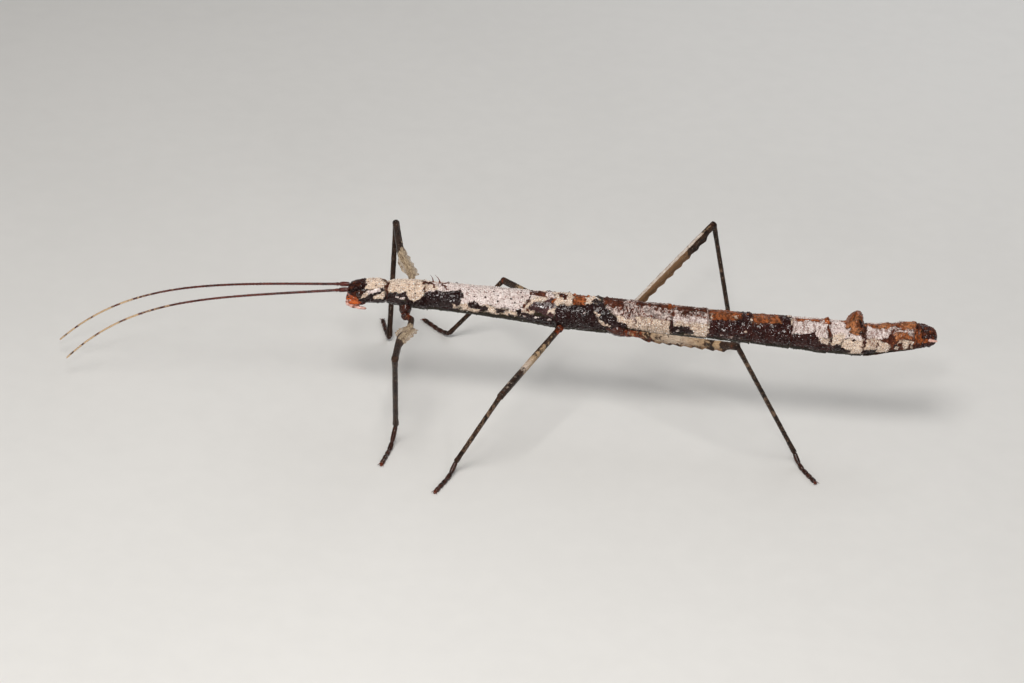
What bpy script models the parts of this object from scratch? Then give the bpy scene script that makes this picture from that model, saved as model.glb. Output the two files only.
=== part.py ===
# A still, life-size model of a wild stick insect, standing on six feet.
# The head points to -X, the tail to +X and the back to +Z; its left legs are on the -Y side.
# Sizes below are in millimetres and degrees; meshes are written in metres.

import math

import bmesh
import bpy
from mathutils import Vector

MM = 0.001

# Driving sizes -----------------------------------------------------------------------------

GAP = 0.25                 # clear space where two pieces meet
EDGE = 0.16                # rounding at the two ends of a body ring
BODY_SIDES = 20            # facets round the trunk
RIDGE = 0.12               # low keel along the middle of the back
RIM_SWELL = 0.04           # how much each body ring widens to its hind edge

HEAD_FRONT = -45.0
NECK = -38.9
TAIL_TIP = 45.0

# The trunk's own line: place along it, height of its middle, half width, half height.
TRUNK_LINE = (
    (NECK, 17.95, 1.90, 1.75),
    (-37.2, 17.98, 2.15, 2.05),
    (-33.0, 17.85, 2.30, 2.25),
    (-24.5, 17.55, 2.40, 2.40),
    (-17.0, 17.15, 2.60, 2.60),
    (-12.5, 16.90, 2.85, 2.80),
    (-7.0, 16.70, 2.85, 2.85),
    (-2.0, 16.68, 2.80, 2.70),
    (4.5, 16.68, 2.55, 2.48),
    (10.1, 16.58, 2.40, 2.40),
    (16.7, 16.36, 2.45, 2.45),
    (22.8, 16.18, 2.60, 2.60),
    (28.5, 16.03, 2.75, 2.70),
    (33.9, 16.00, 2.65, 2.60),
    (37.8, 16.62, 2.45, 2.35),
    (41.0, 17.16, 2.40, 2.30),
    (42.6, 17.27, 2.05, 1.98),
    (44.0, 17.30, 1.70, 1.65),
    (TAIL_TIP, 17.30, 1.05, 1.10),
)

# Each trunk piece: name, front edge, hind edge, facets along it, colour.
TRUNK_PIECES = (
    ("prothorax", NECK, -32.8, 4, (0.72, 0.66, 0.50)),
    ("mesothorax", -32.8, -10.7, 9, (0.55, 0.47, 0.44)),
    ("metathorax", -10.7, -0.4, 6, (0.13, 0.08, 0.06)),
    ("abdomen_2", -0.4, 4.5, 3, (0.42, 0.28, 0.20)),
    ("abdomen_3", 4.5, 10.1, 3, (0.46, 0.32, 0.24)),
    ("abdomen_4", 10.1, 16.7, 3, (0.22, 0.08, 0.04)),
    ("abdomen_5", 16.7, 22.8, 3, (0.20, 0.07, 0.04)),
    ("abdomen_6", 22.8, 28.5, 3, (0.40, 0.30, 0.27)),
    ("abdomen_7", 28.5, 33.9, 4, (0.58, 0.46, 0.38)),
    ("abdomen_8", 33.9, 37.8, 3, (0.52, 0.33, 0.20)),
    ("abdomen_9", 37.8, 41.8, 3, (0.50, 0.25, 0.11)),
    ("abdomen_10", 41.8, TAIL_TIP, 3, (0.10, 0.04, 0.03)),
)

# Raised crest across the hind back of the seventh ring, and the spur on the sixth.
CREST = {"front": 30.7, "crown": 32.5, "back": 33.2, "foot": 33.6,
         "height": 2.30, "half_angle": 42.0}
SPUR = {"front": 27.2, "crown": 28.1, "back": 28.25, "foot": 28.4,
        "height": 0.7, "half_angle": 16.0}
CREST_DOME = 2.6           # how squarely the crest falls away to its two sides
NEAREST_RINGS = 0.05       # facets closer together than this are left out

# The plate under the tail: it fills the lower part of the rings from "front" to "tip".
PLATE = {"front": 34.1, "tip": 43.7, "depth": 0.85, "narrowest": 0.35, "facets": 7,
         "arc_points": 9, "dips_from": 41.0}

# The two tail feelers (cerci), one each side: the left one mirrors this path.
CERCUS_PATH = ((43.2, 1.30, 17.62), (44.2, 1.58, 17.66), (45.1, 1.58, 17.60))
CERCUS_RADII = (0.34, 0.32, 0.18)
CERCUS_SIDES = 6

# Head: place along it, height of its middle, half width, half height.
HEAD_LINE = (
    (HEAD_FRONT, 17.60, 1.15, 1.00),
    (-44.4, 17.62, 1.50, 1.40),
    (-43.2, 17.72, 1.80, 1.72),
    (-41.6, 17.88, 2.00, 1.92),
    (-40.1, 17.98, 2.05, 1.90),
    (NECK, 18.00, 1.80, 1.70),
)
HEAD_FACETS = 8
HEAD_CROWDING = 1.25       # facets lie closer together where the face rounds off

EYE = {"place": (-43.0, 1.62, 18.15), "radius": 0.55, "gap": 0.12, "segments": 12, "rings": 7}

# Mouth: a rounded lip block under the front of the head, and a feeler (palp) at each side.
LIP = {"front": -45.05, "back": -42.6, "half_width": 0.95, "half_height": 0.85, "middle": 16.1,
       "facets": 6, "sides": 10, "blunt": 0.12}
PALP_RADIUS = 0.27
PALP_TIP = 0.8             # radius at the palp's tip, as a share of the rest
PALP_SIDES = 6
PALP_PATH = ((-43.9, 0.75, 16.10), (-44.9, 1.10, 16.00), (-44.6, 1.25, 15.68),
             (-43.5, 1.30, 15.42), (-41.8, 1.25, 15.28))

# Antennae: they start beside each other, sag slowly and then bend down near the tips.
ANTENNA = {"root": (-44.7, 0.78, 18.25), "spread": 2.2, "spread_power": 0.9, "sag": 5.2,
           "thick_base": 0.34, "thin_tip": 0.26, "sides": 6, "facets": 20,
           "scape": 1.5, "scape_radius": 0.42, "crowding": 0.05}
ANTENNA_SHAPE = {
    "left": {"reach": 42.8, "hook": 9.7, "hook_power": 4.6},
    "right": {"reach": 44.9, "hook": 10.3, "hook_power": 4.3},
}

# Legs. root is where the leg turns out of its hip, on the left side; a right leg mirrors it.
# sweep turns a part forward from straight sideways, lift raises the femur, roll turns it
# about itself, drop is how steeply the tibia comes down, and toe is the way the foot points.
HIPS = {
    "fore": {"root": (-35.8, 2.5, 15.6), "hip": (-36.0, 1.3, 16.9), "hip_radius": 1.00},
    "mid": {"root": (-12.1, 2.4, 15.6), "hip": (-12.0, 1.2, 16.4), "hip_radius": 1.10},
    "hind": {"root": (-2.4, 2.8, 15.6), "hip": (-5.0, 1.5, 16.0), "hip_radius": 1.20},
}
LEGS = {
    ("left", "fore"): {"femur": 19.6, "sweep": 1, "lift": 12, "roll": 0,
                       "tibia": 18.4, "shin": -178, "drop": 65, "toe": 13, "foot": 6.6},
    ("right", "fore"): {"femur": 19.6, "sweep": 10, "lift": 6, "roll": 18,
                        "tibia": 18.4, "shin": -178, "drop": 66, "toe": 14, "foot": 6.2},
    ("left", "mid"): {"femur": 19.0, "sweep": 26.4, "lift": -7.6, "roll": 0,
                      "tibia": 12.8, "shin": 77, "drop": 62, "toe": 24, "foot": 6.3},
    ("right", "mid"): {"femur": 18.9, "sweep": 31, "lift": -15, "roll": 0,
                       "tibia": 12.8, "shin": 99, "drop": 50.5, "toe": 43, "foot": 6.2},
    ("left", "hind"): {"femur": 21.7, "sweep": -51.2, "lift": 18.9, "roll": 0,
                       "tibia": 24.2, "shin": -113, "drop": 60.2, "toe": -29, "foot": 6.1},
    ("right", "hind"): {"femur": 21.7, "sweep": -40.6, "lift": 22.4, "roll": -26,
                        "tibia": 23.8, "shin": -66, "drop": 75.2, "toe": -30, "foot": 6.0},
}
TROCHANTER = 1.1           # ring between hip and femur
TROCHANTER_RADIUS = 0.62
HIP_SIDES = 8
HIP_ALONG = (0.0, 0.55, 0.95)          # from the hip to the leg's root
HIP_SWELL = (1.0, 0.95, 0.66)          # radius there, as a share of the hip's
RING_ALONG = (0.35, 0.75, 1.0)         # along the ring between hip and femur
RING_SWELL = (1.05, 1.0, 0.8)          # radius there, as a share of that ring's
HULL_FACETS = 8                        # along the piece of trunk that a hip is cut against

# Femur: half sizes at its foot, in its middle and at the knee, and the teeth under it.
FEMUR = {
    "fore": {"half_width": (0.50, 0.62, 0.58), "half_height": (0.50, 0.58, 0.60),
             "teeth": 4, "tooth": 0.12, "keel": 0.10, "bow": 1.1},
    "mid": {"half_width": (0.46, 0.55, 0.58), "half_height": (0.48, 0.62, 0.62),
            "teeth": 7, "tooth": 0.22, "keel": 0.20, "bow": 0.0},
    "hind": {"half_width": (0.48, 0.56, 0.58), "half_height": (0.50, 0.62, 0.62),
             "teeth": 8, "tooth": 0.28, "keel": 0.48, "bow": 0.0},
}
FEMUR_SIDES = 8
FEMUR_START = 0.6          # how far out on the ring a femur begins
FEMUR_PLACES = (0.10, 0.95, 1.0)       # facets besides those of the teeth, from 0 to 1
LOBED_PLACES = (0.14, 0.19, 0.72, 0.80, 0.88)
TOOTHED = (0.14, 0.90)     # stretch of a mid or hind femur with teeth under it
NOTCH = 0.02               # where each tooth starts and where it is highest, from 0 to 1
TOOTH_POINT = 0.70
KEEL_RISE = (0.08, 0.20)
KEEL_FALL = (0.85, 0.97)
BOW_RISE = (0.0, 0.12)
BOW_FALL = (0.30, 0.60)
KNEE = {"share": 0.8, "length": 0.3}   # the rounded end of a femur
# Leaf-like lobe of a fore femur: its hind and front edges, along the femur from 0 to 1.
LOBE = {"start": 0.24, "full": 0.36, "fade": 0.56, "end": 0.68, "width": 0.85, "teeth": 4,
        "tooth": 0.35, "front_full": 0.30, "front_end": 0.56, "front_width": 1.35}

TIBIA = {"fore": 0.44, "mid": 0.38, "hind": 0.38}      # half thickness
TIBIA_SIDES = 6
TIBIA_FACETS = 5
TIBIA_KNEE = {"swell": 0.14, "to": 0.15}
TIBIA_ANKLE = {"swell": 0.12, "from": 0.86}

FOOT = {"radius": 0.40, "waist": 0.30, "sole": 0.24, "landing": 0.5, "joints": 5, "sides": 8,
        "claw_radius": 0.17, "claw_length": 0.85, "claw_spread": 32.0, "claw_back": 0.15,
        "claw_rise": 0.12, "claw_bend": 0.3, "claw_top": 0.4, "claw_tip": 0.5,
        "claw_lift": 0.04, "claw_sides": 4, "crowding": 0.85}
FOOT_BEAD = ((0.0, "waist"), (0.35, "radius"), (0.8, "radius"))

HEAD_COLOUR = (0.60, 0.52, 0.38)
EYE_COLOUR = (0.05, 0.03, 0.03)
MOUTH_COLOUR = (0.35, 0.09, 0.03)
PLATE_COLOUR = (0.12, 0.07, 0.05)
FEELER_COLOUR = (0.33, 0.17, 0.10)
HIP_COLOUR = (0.22, 0.07, 0.03)
LOBED_FEMUR_COLOUR = (0.50, 0.42, 0.30)
FEMUR_COLOUR = (0.42, 0.34, 0.23)
DARK_LEG_COLOUR = (0.09, 0.06, 0.05)
MATT = 0.6
GLOSSY = 0.35
WET = 0.12
SHARP_ANGLE = 40           # edges steeper than this stay crisp


# Reading tables and placing points -----------------------------------------------------------


def read_line(table, x):
    """A smooth curve through the rows of a table, read at x."""
    last = len(table) - 2
    i = max([k for k in range(last + 1) if table[k][0] <= x] or [0])
    x0 = table[i][0]
    x1 = table[i + 1][0]
    t = min(max((x - x0) / (x1 - x0), 0.0), 1.0)

    def slope(k, column):
        before = table[max(k - 1, 0)]
        after = table[min(k + 1, last + 1)]
        return (after[column] - before[column]) / (after[0] - before[0])

    values = []
    for column in range(1, len(table[0])):
        v0 = table[i][column]
        v1 = table[i + 1][column]
        m0 = slope(i, column) * (x1 - x0)
        m1 = slope(i + 1, column) * (x1 - x0)
        values.append(
            (2 * t**3 - 3 * t**2 + 1) * v0 + (t**3 - 2 * t**2 + t) * m0
            + (3 * t**2 - 2 * t**3) * v1 + (t**3 - t**2) * m1
        )
    return values


def ramp(value, start, end):
    """0 before start, 1 after end, with an eased slope between."""
    t = min(max((value - start) / (end - start), 0.0), 1.0)
    return t * t * (3 - 2 * t)


def three_point(sizes, t):
    """Blend a foot, middle and end size along t from 0 to 1."""
    foot, middle, end = sizes
    if t < 0.5:
        return foot + (middle - foot) * ramp(t, 0.0, 0.5)
    return middle + (end - middle) * ramp(t, 0.5, 1.0)


def heading(side, sweep, lift):
    """Unit vector out from one side of the body; sweep is towards the head."""
    sweep = math.radians(sweep)
    lift = math.radians(lift)
    flat = math.cos(lift)
    return Vector((-math.sin(sweep) * flat, side * math.cos(sweep) * flat, math.sin(lift)))


def raised(x, angle, shape):
    """Height of a crest or spur over the back at x and at an angle round the trunk."""
    ahead = (shape["crown"] - x) / (shape["crown"] - shape["front"])
    behind = (x - shape["crown"]) / (shape["foot"] - shape["crown"])
    off_middle = abs(math.degrees(angle) - 90.0) / shape["half_angle"]
    if max(ahead, behind, off_middle) >= 1:
        return 0.0
    along = (1 - max(ahead, 0.0) ** 2) * (1 - max(behind, 0.0) ** 4)
    return shape["height"] * along * (1 - off_middle ** CREST_DOME)


# Making solids -------------------------------------------------------------------------------


def finish(name, colour, roughness):
    """A plain material in one colour."""
    material = bpy.data.materials.new(name)
    material.use_nodes = True
    shader = material.node_tree.nodes["Principled BSDF"]
    shader.inputs["Base Color"].default_value = (*colour, 1.0)
    shader.inputs["Roughness"].default_value = roughness
    shader.inputs["Metallic"].default_value = 0.0
    material.diffuse_color = (*colour, 1.0)
    return material


def loft(name, rings, colour=None, roughness=MATT):
    """A closed solid through rings of points; with no colour it is a hidden cutter."""
    shape = bmesh.new()
    loops = [[shape.verts.new(Vector(point) * MM) for point in ring] for ring in rings]
    count = len(loops[0])
    for front, back in zip(loops, loops[1:]):
        for k in range(count):
            after = (k + 1) % count
            shape.faces.new((front[k], front[after], back[after], back[k]))
    shape.faces.new(loops[0])
    shape.faces.new(list(reversed(loops[-1])))
    bmesh.ops.recalc_face_normals(shape, faces=shape.faces)
    mesh = bpy.data.meshes.new(name)
    shape.to_mesh(mesh)
    shape.free()
    piece = bpy.data.objects.new(name, mesh)
    bpy.context.scene.collection.objects.link(piece)
    if colour is None:
        piece.hide_render = True
        piece.display_type = "WIRE"
    else:
        mesh.shade_smooth()
        mesh.set_sharp_from_angle(angle=math.radians(SHARP_ANGLE))
        mesh.materials.append(finish(name, colour, roughness))
    return piece


def combine(piece, other, operation):
    """Add a cutter's shape to a piece, or take it away."""
    modifier = piece.modifiers.new(f"{operation.lower()}_{other.name}", "BOOLEAN")
    modifier.operation = operation
    modifier.solver = "EXACT"
    modifier.object = other


def tube_rings(path, radii, sides, up=(0, 0, 1)):
    """Round rings square to a path of points."""
    rings = []
    for i, point in enumerate(path):
        along = (path[min(i + 1, len(path) - 1)] - path[max(i - 1, 0)]).normalized()
        across = along.cross(Vector(up)).normalized()
        over = across.cross(along)
        rings.append([
            point + radii[i] * (math.cos(turn) * across + math.sin(turn) * over)
            for turn in (2 * math.pi * k / sides for k in range(sides))
        ])
    return rings


# Trunk ---------------------------------------------------------------------------------------


def trunk_ring(x, scale=1.0, grow=0.0):
    """Points round the trunk at x, with its keel, crest and spur."""
    middle, wide, high = read_line(TRUNK_LINE, x)
    ring = []
    for k in range(BODY_SIDES):
        angle = 2 * math.pi * k / BODY_SIDES
        extra = grow + raised(x, angle, CREST) + raised(x, angle, SPUR)
        keel = RIDGE * max(math.sin(angle), 0.0) ** 40
        y = (wide * scale + extra) * math.cos(angle)
        z = middle + (high * scale + extra + keel) * math.sin(angle)
        if x > PLATE["front"] - GAP:
            z = max(z, plate_top(x) + GAP)
        ring.append(Vector((x, y, z)))
    return ring


def plate_top(x):
    """Height of the flat upper side of the plate under the tail."""
    middle, wide, high = read_line(TRUNK_LINE, x)
    return middle - high + PLATE["depth"] - GAP * ramp(x, PLATE["dips_from"], PLATE["tip"])


def trunk_piece(name, front, back, facets, colour):
    """One ring of the body, clear of its neighbours by half the gap at each end."""
    start = front + GAP / 2
    end = back - GAP / 2
    places = [start + EDGE + (end - start - 2 * EDGE) * k / facets for k in range(facets + 1)]
    if front < CREST["foot"] < back:
        places += [CREST["front"], (CREST["front"] + CREST["crown"]) / 2, CREST["crown"],
                   CREST["back"], CREST["foot"]]
    if front < SPUR["foot"] < back:
        places += [SPUR["front"], SPUR["crown"], SPUR["back"], SPUR["foot"]]
    places = sorted(set(places))
    places = [x for i, x in enumerate(places) if i == 0 or x - places[i - 1] > NEAREST_RINGS]
    rings = [trunk_ring(start, 1 - EDGE / 2)]
    for x in places:
        rings.append(trunk_ring(x, 1 + RIM_SWELL * ((x - front) / (back - front) - 0.5)))
    rings.append(trunk_ring(end, 1 - EDGE / 2))
    return loft(name, rings, colour)


def tail_plate():
    """The boat-shaped plate that closes the tail from below."""
    rings = []
    steps = PLATE["facets"]
    for i in range(steps + 1):
        t = i / steps
        x = PLATE["front"] + (PLATE["tip"] - PLATE["front"]) * t
        middle, wide, high = read_line(TRUNK_LINE, x)
        top = plate_top(x)
        dip = math.asin(min((middle - top) / high, 0.999))
        narrow = 1 - (1 - PLATE["narrowest"]) * t**2
        points = PLATE["arc_points"]
        ring = []
        for k in range(points):
            angle = -math.pi + dip + (math.pi - 2 * dip) * k / (points - 1)
            ring.append(Vector((x, wide * narrow * math.cos(angle),
                                middle + high * math.sin(angle))))
        rings.append(ring)
    return loft("subgenital_plate", rings, PLATE_COLOUR)


def make_trunk():
    """The rings of the body, the plate under the tail and the two tail feelers."""
    pieces = {row[0]: trunk_piece(*row) for row in TRUNK_PIECES}
    tail_plate()
    for side, label in ((-1, "left"), (1, "right")):
        path = [Vector((x, side * y, z)) for x, y, z in CERCUS_PATH]
        cercus = loft(f"cutter_cercus_{label}", tube_rings(path, CERCUS_RADII, CERCUS_SIDES))
        combine(pieces["abdomen_10"], cercus, "UNION")


# Head ----------------------------------------------------------------------------------------


def head_rings(grow=0.0):
    """Points round the head from its face to the neck."""
    back = NECK - GAP / 2
    rings = []
    for i in range(HEAD_FACETS + 1):
        t = (i / HEAD_FACETS) ** HEAD_CROWDING
        x = HEAD_FRONT + (back - HEAD_FRONT) * t
        middle, wide, high = read_line(HEAD_LINE, x)
        x += grow * (-1 if i == 0 else 0)
        rings.append([
            Vector((x, (wide + grow) * math.cos(turn), middle + (high + grow) * math.sin(turn)))
            for turn in (2 * math.pi * k / BODY_SIDES for k in range(BODY_SIDES))
        ])
    return rings


def ball(name, place, radius, colour=None):
    """An eye, or the hollow that it sits in."""
    shape = bmesh.new()
    bmesh.ops.create_uvsphere(shape, u_segments=EYE["segments"], v_segments=EYE["rings"],
                              radius=radius * MM)
    mesh = bpy.data.meshes.new(name)
    shape.to_mesh(mesh)
    shape.free()
    piece = bpy.data.objects.new(name, mesh)
    piece.location = Vector(place) * MM
    bpy.context.scene.collection.objects.link(piece)
    if colour is None:
        piece.hide_render = True
        piece.display_type = "WIRE"
    else:
        mesh.shade_smooth()
        mesh.materials.append(finish(name, colour, WET))
    return piece


def make_head():
    """The head with its sockets, eyes, antennae and mouth."""
    head = loft("head", head_rings(), HEAD_COLOUR)
    outline = loft("cutter_head", head_rings(GAP))
    for side, label in ((-1, "left"), (1, "right")):
        x, y, z = EYE["place"]
        place = (x, side * y, z)
        hollow = ball(f"cutter_eye_{label}", place, EYE["radius"] + EYE["gap"])
        combine(head, hollow, "DIFFERENCE")
        ball(f"eye_{label}", place, EYE["radius"], EYE_COLOUR)
        antenna = make_antenna(label, side)
        combine(antenna, outline, "DIFFERENCE")
    mouth = make_mouth()
    combine(mouth, outline, "DIFFERENCE")


def make_mouth():
    """A rounded lip block with a bent feeler at each side."""
    middle_x = (LIP["front"] + LIP["back"]) / 2
    half_x = (LIP["back"] - LIP["front"]) / 2
    rings = []
    blunt = LIP["blunt"]
    for i in range(LIP["facets"] + 1):
        turn = math.pi * (blunt + (1 - 2 * blunt) * i / LIP["facets"])
        x = middle_x - half_x * math.cos(turn) / math.cos(math.pi * blunt)
        size = math.sin(turn)
        rings.append([
            Vector((x, LIP["half_width"] * size * math.cos(a),
                    LIP["middle"] + LIP["half_height"] * size * math.sin(a)))
            for a in (2 * math.pi * k / LIP["sides"] for k in range(LIP["sides"]))
        ])
    mouth = loft("mouthparts", rings, MOUTH_COLOUR)
    for side, label in ((-1, "left"), (1, "right")):
        path = [Vector((x, side * y, z)) for x, y, z in PALP_PATH]
        radii = [PALP_RADIUS] * (len(path) - 1) + [PALP_RADIUS * PALP_TIP]
        palp = loft(f"cutter_palp_{label}", tube_rings(path, radii, PALP_SIDES, up=(0, 1, 0)))
        combine(mouth, palp, "UNION")
    return mouth


def make_antenna(label, side):
    """One antenna, thick at its root and bent down near its tip."""
    shape = ANTENNA_SHAPE[label]
    x0, y0, z0 = ANTENNA["root"]
    path = []
    radii = []
    for i in range(ANTENNA["facets"] + 1):
        # Facets lie closer together at the thick foot and in the bend at the tip.
        u = i / ANTENNA["facets"]
        u = u - ANTENNA["crowding"] * math.sin(2 * math.pi * u)
        path.append(Vector((
            x0 - shape["reach"] * u,
            side * (y0 + ANTENNA["spread"] * u ** ANTENNA["spread_power"]),
            z0 - ANTENNA["sag"] * u - shape["hook"] * u ** shape["hook_power"],
        )))
        thin = ANTENNA["thick_base"] + (ANTENNA["thin_tip"] - ANTENNA["thick_base"]) * u
        scape = 1 - ramp(shape["reach"] * u, 0.8 * ANTENNA["scape"], 1.3 * ANTENNA["scape"])
        radii.append(thin + (ANTENNA["scape_radius"] - thin) * scape)
    return loft(f"antenna_{label}", tube_rings(path, radii, ANTENNA["sides"]), FEELER_COLOUR)


# Legs ----------------------------------------------------------------------------------------


def limb_ring(point, rear, over, half_width, half_height, keel, lobes):
    """A ring square to a femur; keel deepens its lower edge, lobes widen its two sides."""
    ring = []
    for k in range(FEMUR_SIDES):
        turn = 2 * math.pi * k / FEMUR_SIDES
        wide = half_width * math.cos(turn)
        high = half_height * math.sin(turn)
        if math.cos(turn) > 0.99:
            wide += lobes[0]
        if math.cos(turn) < -0.99:
            wide -= lobes[1]
        if math.sin(turn) < -0.99:
            high -= keel
        ring.append(point + rear * wide + over * high)
    return ring


def femur_sides(out, roll):
    """Unit vectors to a femur's hind side and to its back."""
    side = 1 if out.y > 0 else -1
    rear = Vector((side * out.y, -side * out.x, 0)).normalized()
    over = out.cross(rear) * -side
    turn = math.radians(roll)
    turned_rear = rear * math.cos(turn) - over * math.sin(turn)
    turned_over = over * math.cos(turn) + rear * math.sin(turn)
    return turned_rear, turned_over


def saw(t, count, start, end):
    """0 at a notch and 1 at the point of each of count teeth between start and end."""
    if not start < t < end:
        return 0.0
    part = (t - start) / (end - start) * count % 1.0
    return part / TOOTH_POINT if part < TOOTH_POINT else (1 - part) / (1 - TOOTH_POINT)


def leg_points(side, label, pair):
    """Root, knee and ankle of a leg and the ways its femur, tibia and foot point."""
    leg = LEGS[(label, pair)]
    x, y, z = HIPS[pair]["root"]
    root = Vector((x, side * y, z))
    out = heading(side, leg["sweep"], leg["lift"])
    knee = root + out * leg["femur"]
    down = heading(side, leg["shin"], -leg["drop"])
    ankle = knee + down * leg["tibia"]
    return root, out, knee, down, ankle, heading(side, leg["toe"], 0)


def hip_rings(side, pair, root, out, grow):
    """The hip inside the body's flank and the ring that turns out to the femur."""
    x, y, z = HIPS[pair]["hip"]
    hip = Vector((x, side * y, z))
    path = [hip.lerp(root, share) for share in HIP_ALONG]
    path += [root + out * (TROCHANTER * share) for share in RING_ALONG]
    path[-1] += out * grow
    radii = [HIPS[pair]["hip_radius"] * share for share in HIP_SWELL]
    radii += [TROCHANTER_RADIUS * share for share in RING_SWELL]
    return tube_rings(path, [r + grow for r in radii], HIP_SIDES)


def femur_rings(pair, root, out, length, roll, grow):
    """Points round a femur, with its keel and teeth or its leaf-like lobes."""
    sizes = FEMUR[pair]
    rear, over = femur_sides(out, roll)
    bow_side = femur_sides(out, 0.0)[0]
    places = {FEMUR_START * TROCHANTER / length, *FEMUR_PLACES}
    first, last = TOOTHED
    teeth = sizes["teeth"]
    if pair == "fore":
        places |= {LOBE["start"], LOBE["front_full"], *LOBED_PLACES}
        first, last = LOBE["start"], LOBE["end"]
        teeth = LOBE["teeth"]
    for k in range(teeth):
        places.add(first + (last - first) * (k + NOTCH) / teeth)
        places.add(first + (last - first) * (k + TOOTH_POINT) / teeth)
    rings = []
    for t in sorted(places):
        point = root + out * (length * t)
        half_width = three_point(sizes["half_width"], t)
        half_height = three_point(sizes["half_height"], t)
        lobes = [0.0, 0.0]
        keel = sizes["keel"] * ramp(t, *KEEL_RISE) * (1 - ramp(t, *KEEL_FALL))
        if pair == "fore":
            point += bow_side * sizes["bow"] * ramp(t, *BOW_RISE) * (1 - ramp(t, *BOW_FALL))
            full = ramp(t, LOBE["start"], LOBE["full"]) * (1 - ramp(t, LOBE["fade"], LOBE["end"]))
            lobes[0] = (LOBE["width"] + LOBE["tooth"] * saw(t, teeth, first, last)) * full
            full = ramp(t, LOBE["start"] - 0.02, LOBE["front_full"])
            full *= 1 - ramp(t, LOBE["front_full"], LOBE["front_end"])
            lobes[1] = LOBE["front_width"] * full
        else:
            keel += sizes["tooth"] * saw(t, teeth, first, last)
        if t == 1.0:
            half_width *= KNEE["share"]
            half_height *= KNEE["share"]
            point = point + out * (KNEE["length"] + grow)
        rings.append(limb_ring(point, rear, over, half_width + grow, half_height + grow,
                               keel, lobes))
    return rings


def tibia_rings(pair, knee, down, length, grow):
    """Points round a tibia, a little thicker at the knee and at the ankle."""
    half = TIBIA[pair]
    path = []
    radii = []
    for i in range(TIBIA_FACETS + 1):
        t = i / TIBIA_FACETS
        path.append(knee + down * (length * t + (grow if t == 1.0 else 0.0)))
        swell = TIBIA_KNEE["swell"] * (1 - ramp(t, 0.0, TIBIA_KNEE["to"]))
        swell += TIBIA_ANKLE["swell"] * ramp(t, TIBIA_ANKLE["from"], 1.0)
        radii.append(half * (1 + swell) + grow)
    return tube_rings(path, radii, TIBIA_SIDES, up=(1, 0, 0))


def foot_place(ankle, toe, length, u):
    """A point along the foot: it curves down from the ankle and then lies on its sole."""
    fall = max(1 - u / FOOT["landing"], 0.0) ** 2
    point = ankle + toe * (length * u)
    point.z = FOOT["sole"] + (ankle.z - FOOT["sole"]) * fall
    return point


def flat_below(rings, level):
    """Press everything that would reach below a level flat against it."""
    return [[Vector((p.x, p.y, max(p.z, level))) for p in ring] for ring in rings]


def make_foot(name, ankle, toe, length, tibia_space):
    """A beaded foot lying on its flat sole, with two claws."""
    joints = FOOT["joints"]
    path = []
    radii = []
    for joint in range(joints):
        # Each joint of the foot is a bead: a narrow waist, then a fuller body.
        start = (joint / joints) ** FOOT["crowding"]
        end = ((joint + 1) / joints) ** FOOT["crowding"]
        for part, size in FOOT_BEAD:
            path.append(foot_place(ankle, toe, length, start + (end - start) * part))
            radii.append(FOOT[size])
    path.append(foot_place(ankle, toe, length, 1.0))
    radii.append(FOOT["waist"])
    foot = loft(name, flat_below(tube_rings(path, radii, FOOT["sides"]), 0.0),
                DARK_LEG_COLOUR, GLOSSY)
    combine(foot, tibia_space, "DIFFERENCE")
    tip = path[-1]
    for k, turn in enumerate((-FOOT["claw_spread"], FOOT["claw_spread"])):
        sideways = Vector((-toe.y, toe.x, 0)) * math.sin(math.radians(turn))
        forward = toe * math.cos(math.radians(turn))
        claw_path = []
        for t in (0.0, 0.5, 1.0):
            rise = FOOT["claw_rise"] - FOOT["claw_bend"] * (t - FOOT["claw_top"]) ** 2
            reach = (forward + sideways) * (FOOT["claw_length"] * t) - toe * FOOT["claw_back"]
            claw_path.append(tip + reach + Vector((0, 0, rise)))
        thick = FOOT["claw_radius"]
        rings = tube_rings(claw_path, (thick, thick, thick * FOOT["claw_tip"]), FOOT["claw_sides"])
        claw = loft(f"cutter_{name}_claw_{k}", flat_below(rings, FOOT["claw_lift"]))
        combine(foot, claw, "UNION")


def make_leg(side, label, pair):
    """One leg: each part is cut clear of the part before it."""
    leg = LEGS[(label, pair)]
    name = f"{label}_{pair}"
    root, out, knee, down, ankle, toe = leg_points(side, label, pair)
    front, back = TRUNK_PIECES[("fore", "mid", "hind").index(pair)][1:3]
    shares = [i / HULL_FACETS for i in range(HULL_FACETS + 1)]
    hull = loft(f"cutter_{name}_trunk",
                [trunk_ring(front + (back - front) * t, 1 + RIM_SWELL * (t - 0.5), GAP)
                 for t in shares])
    hip = loft(f"{name}_coxa", hip_rings(side, pair, root, out, 0.0), HIP_COLOUR, GLOSSY)
    combine(hip, hull, "DIFFERENCE")

    hip_space = loft(f"cutter_{name}_coxa", hip_rings(side, pair, root, out, GAP))
    colour = LOBED_FEMUR_COLOUR if pair == "fore" else FEMUR_COLOUR
    femur = loft(f"{name}_femur",
                 femur_rings(pair, root, out, leg["femur"], leg["roll"], 0.0), colour)
    combine(femur, hip_space, "DIFFERENCE")

    femur_space = loft(f"cutter_{name}_femur",
                       femur_rings(pair, root, out, leg["femur"], leg["roll"], GAP))
    tibia = loft(f"{name}_tibia", tibia_rings(pair, knee, down, leg["tibia"], 0.0),
                 DARK_LEG_COLOUR)
    combine(tibia, femur_space, "DIFFERENCE")

    tibia_space = loft(f"cutter_{name}_tibia", tibia_rings(pair, knee, down, leg["tibia"], GAP))
    make_foot(f"{name}_tarsus", ankle, toe, leg["foot"], tibia_space)


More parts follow.
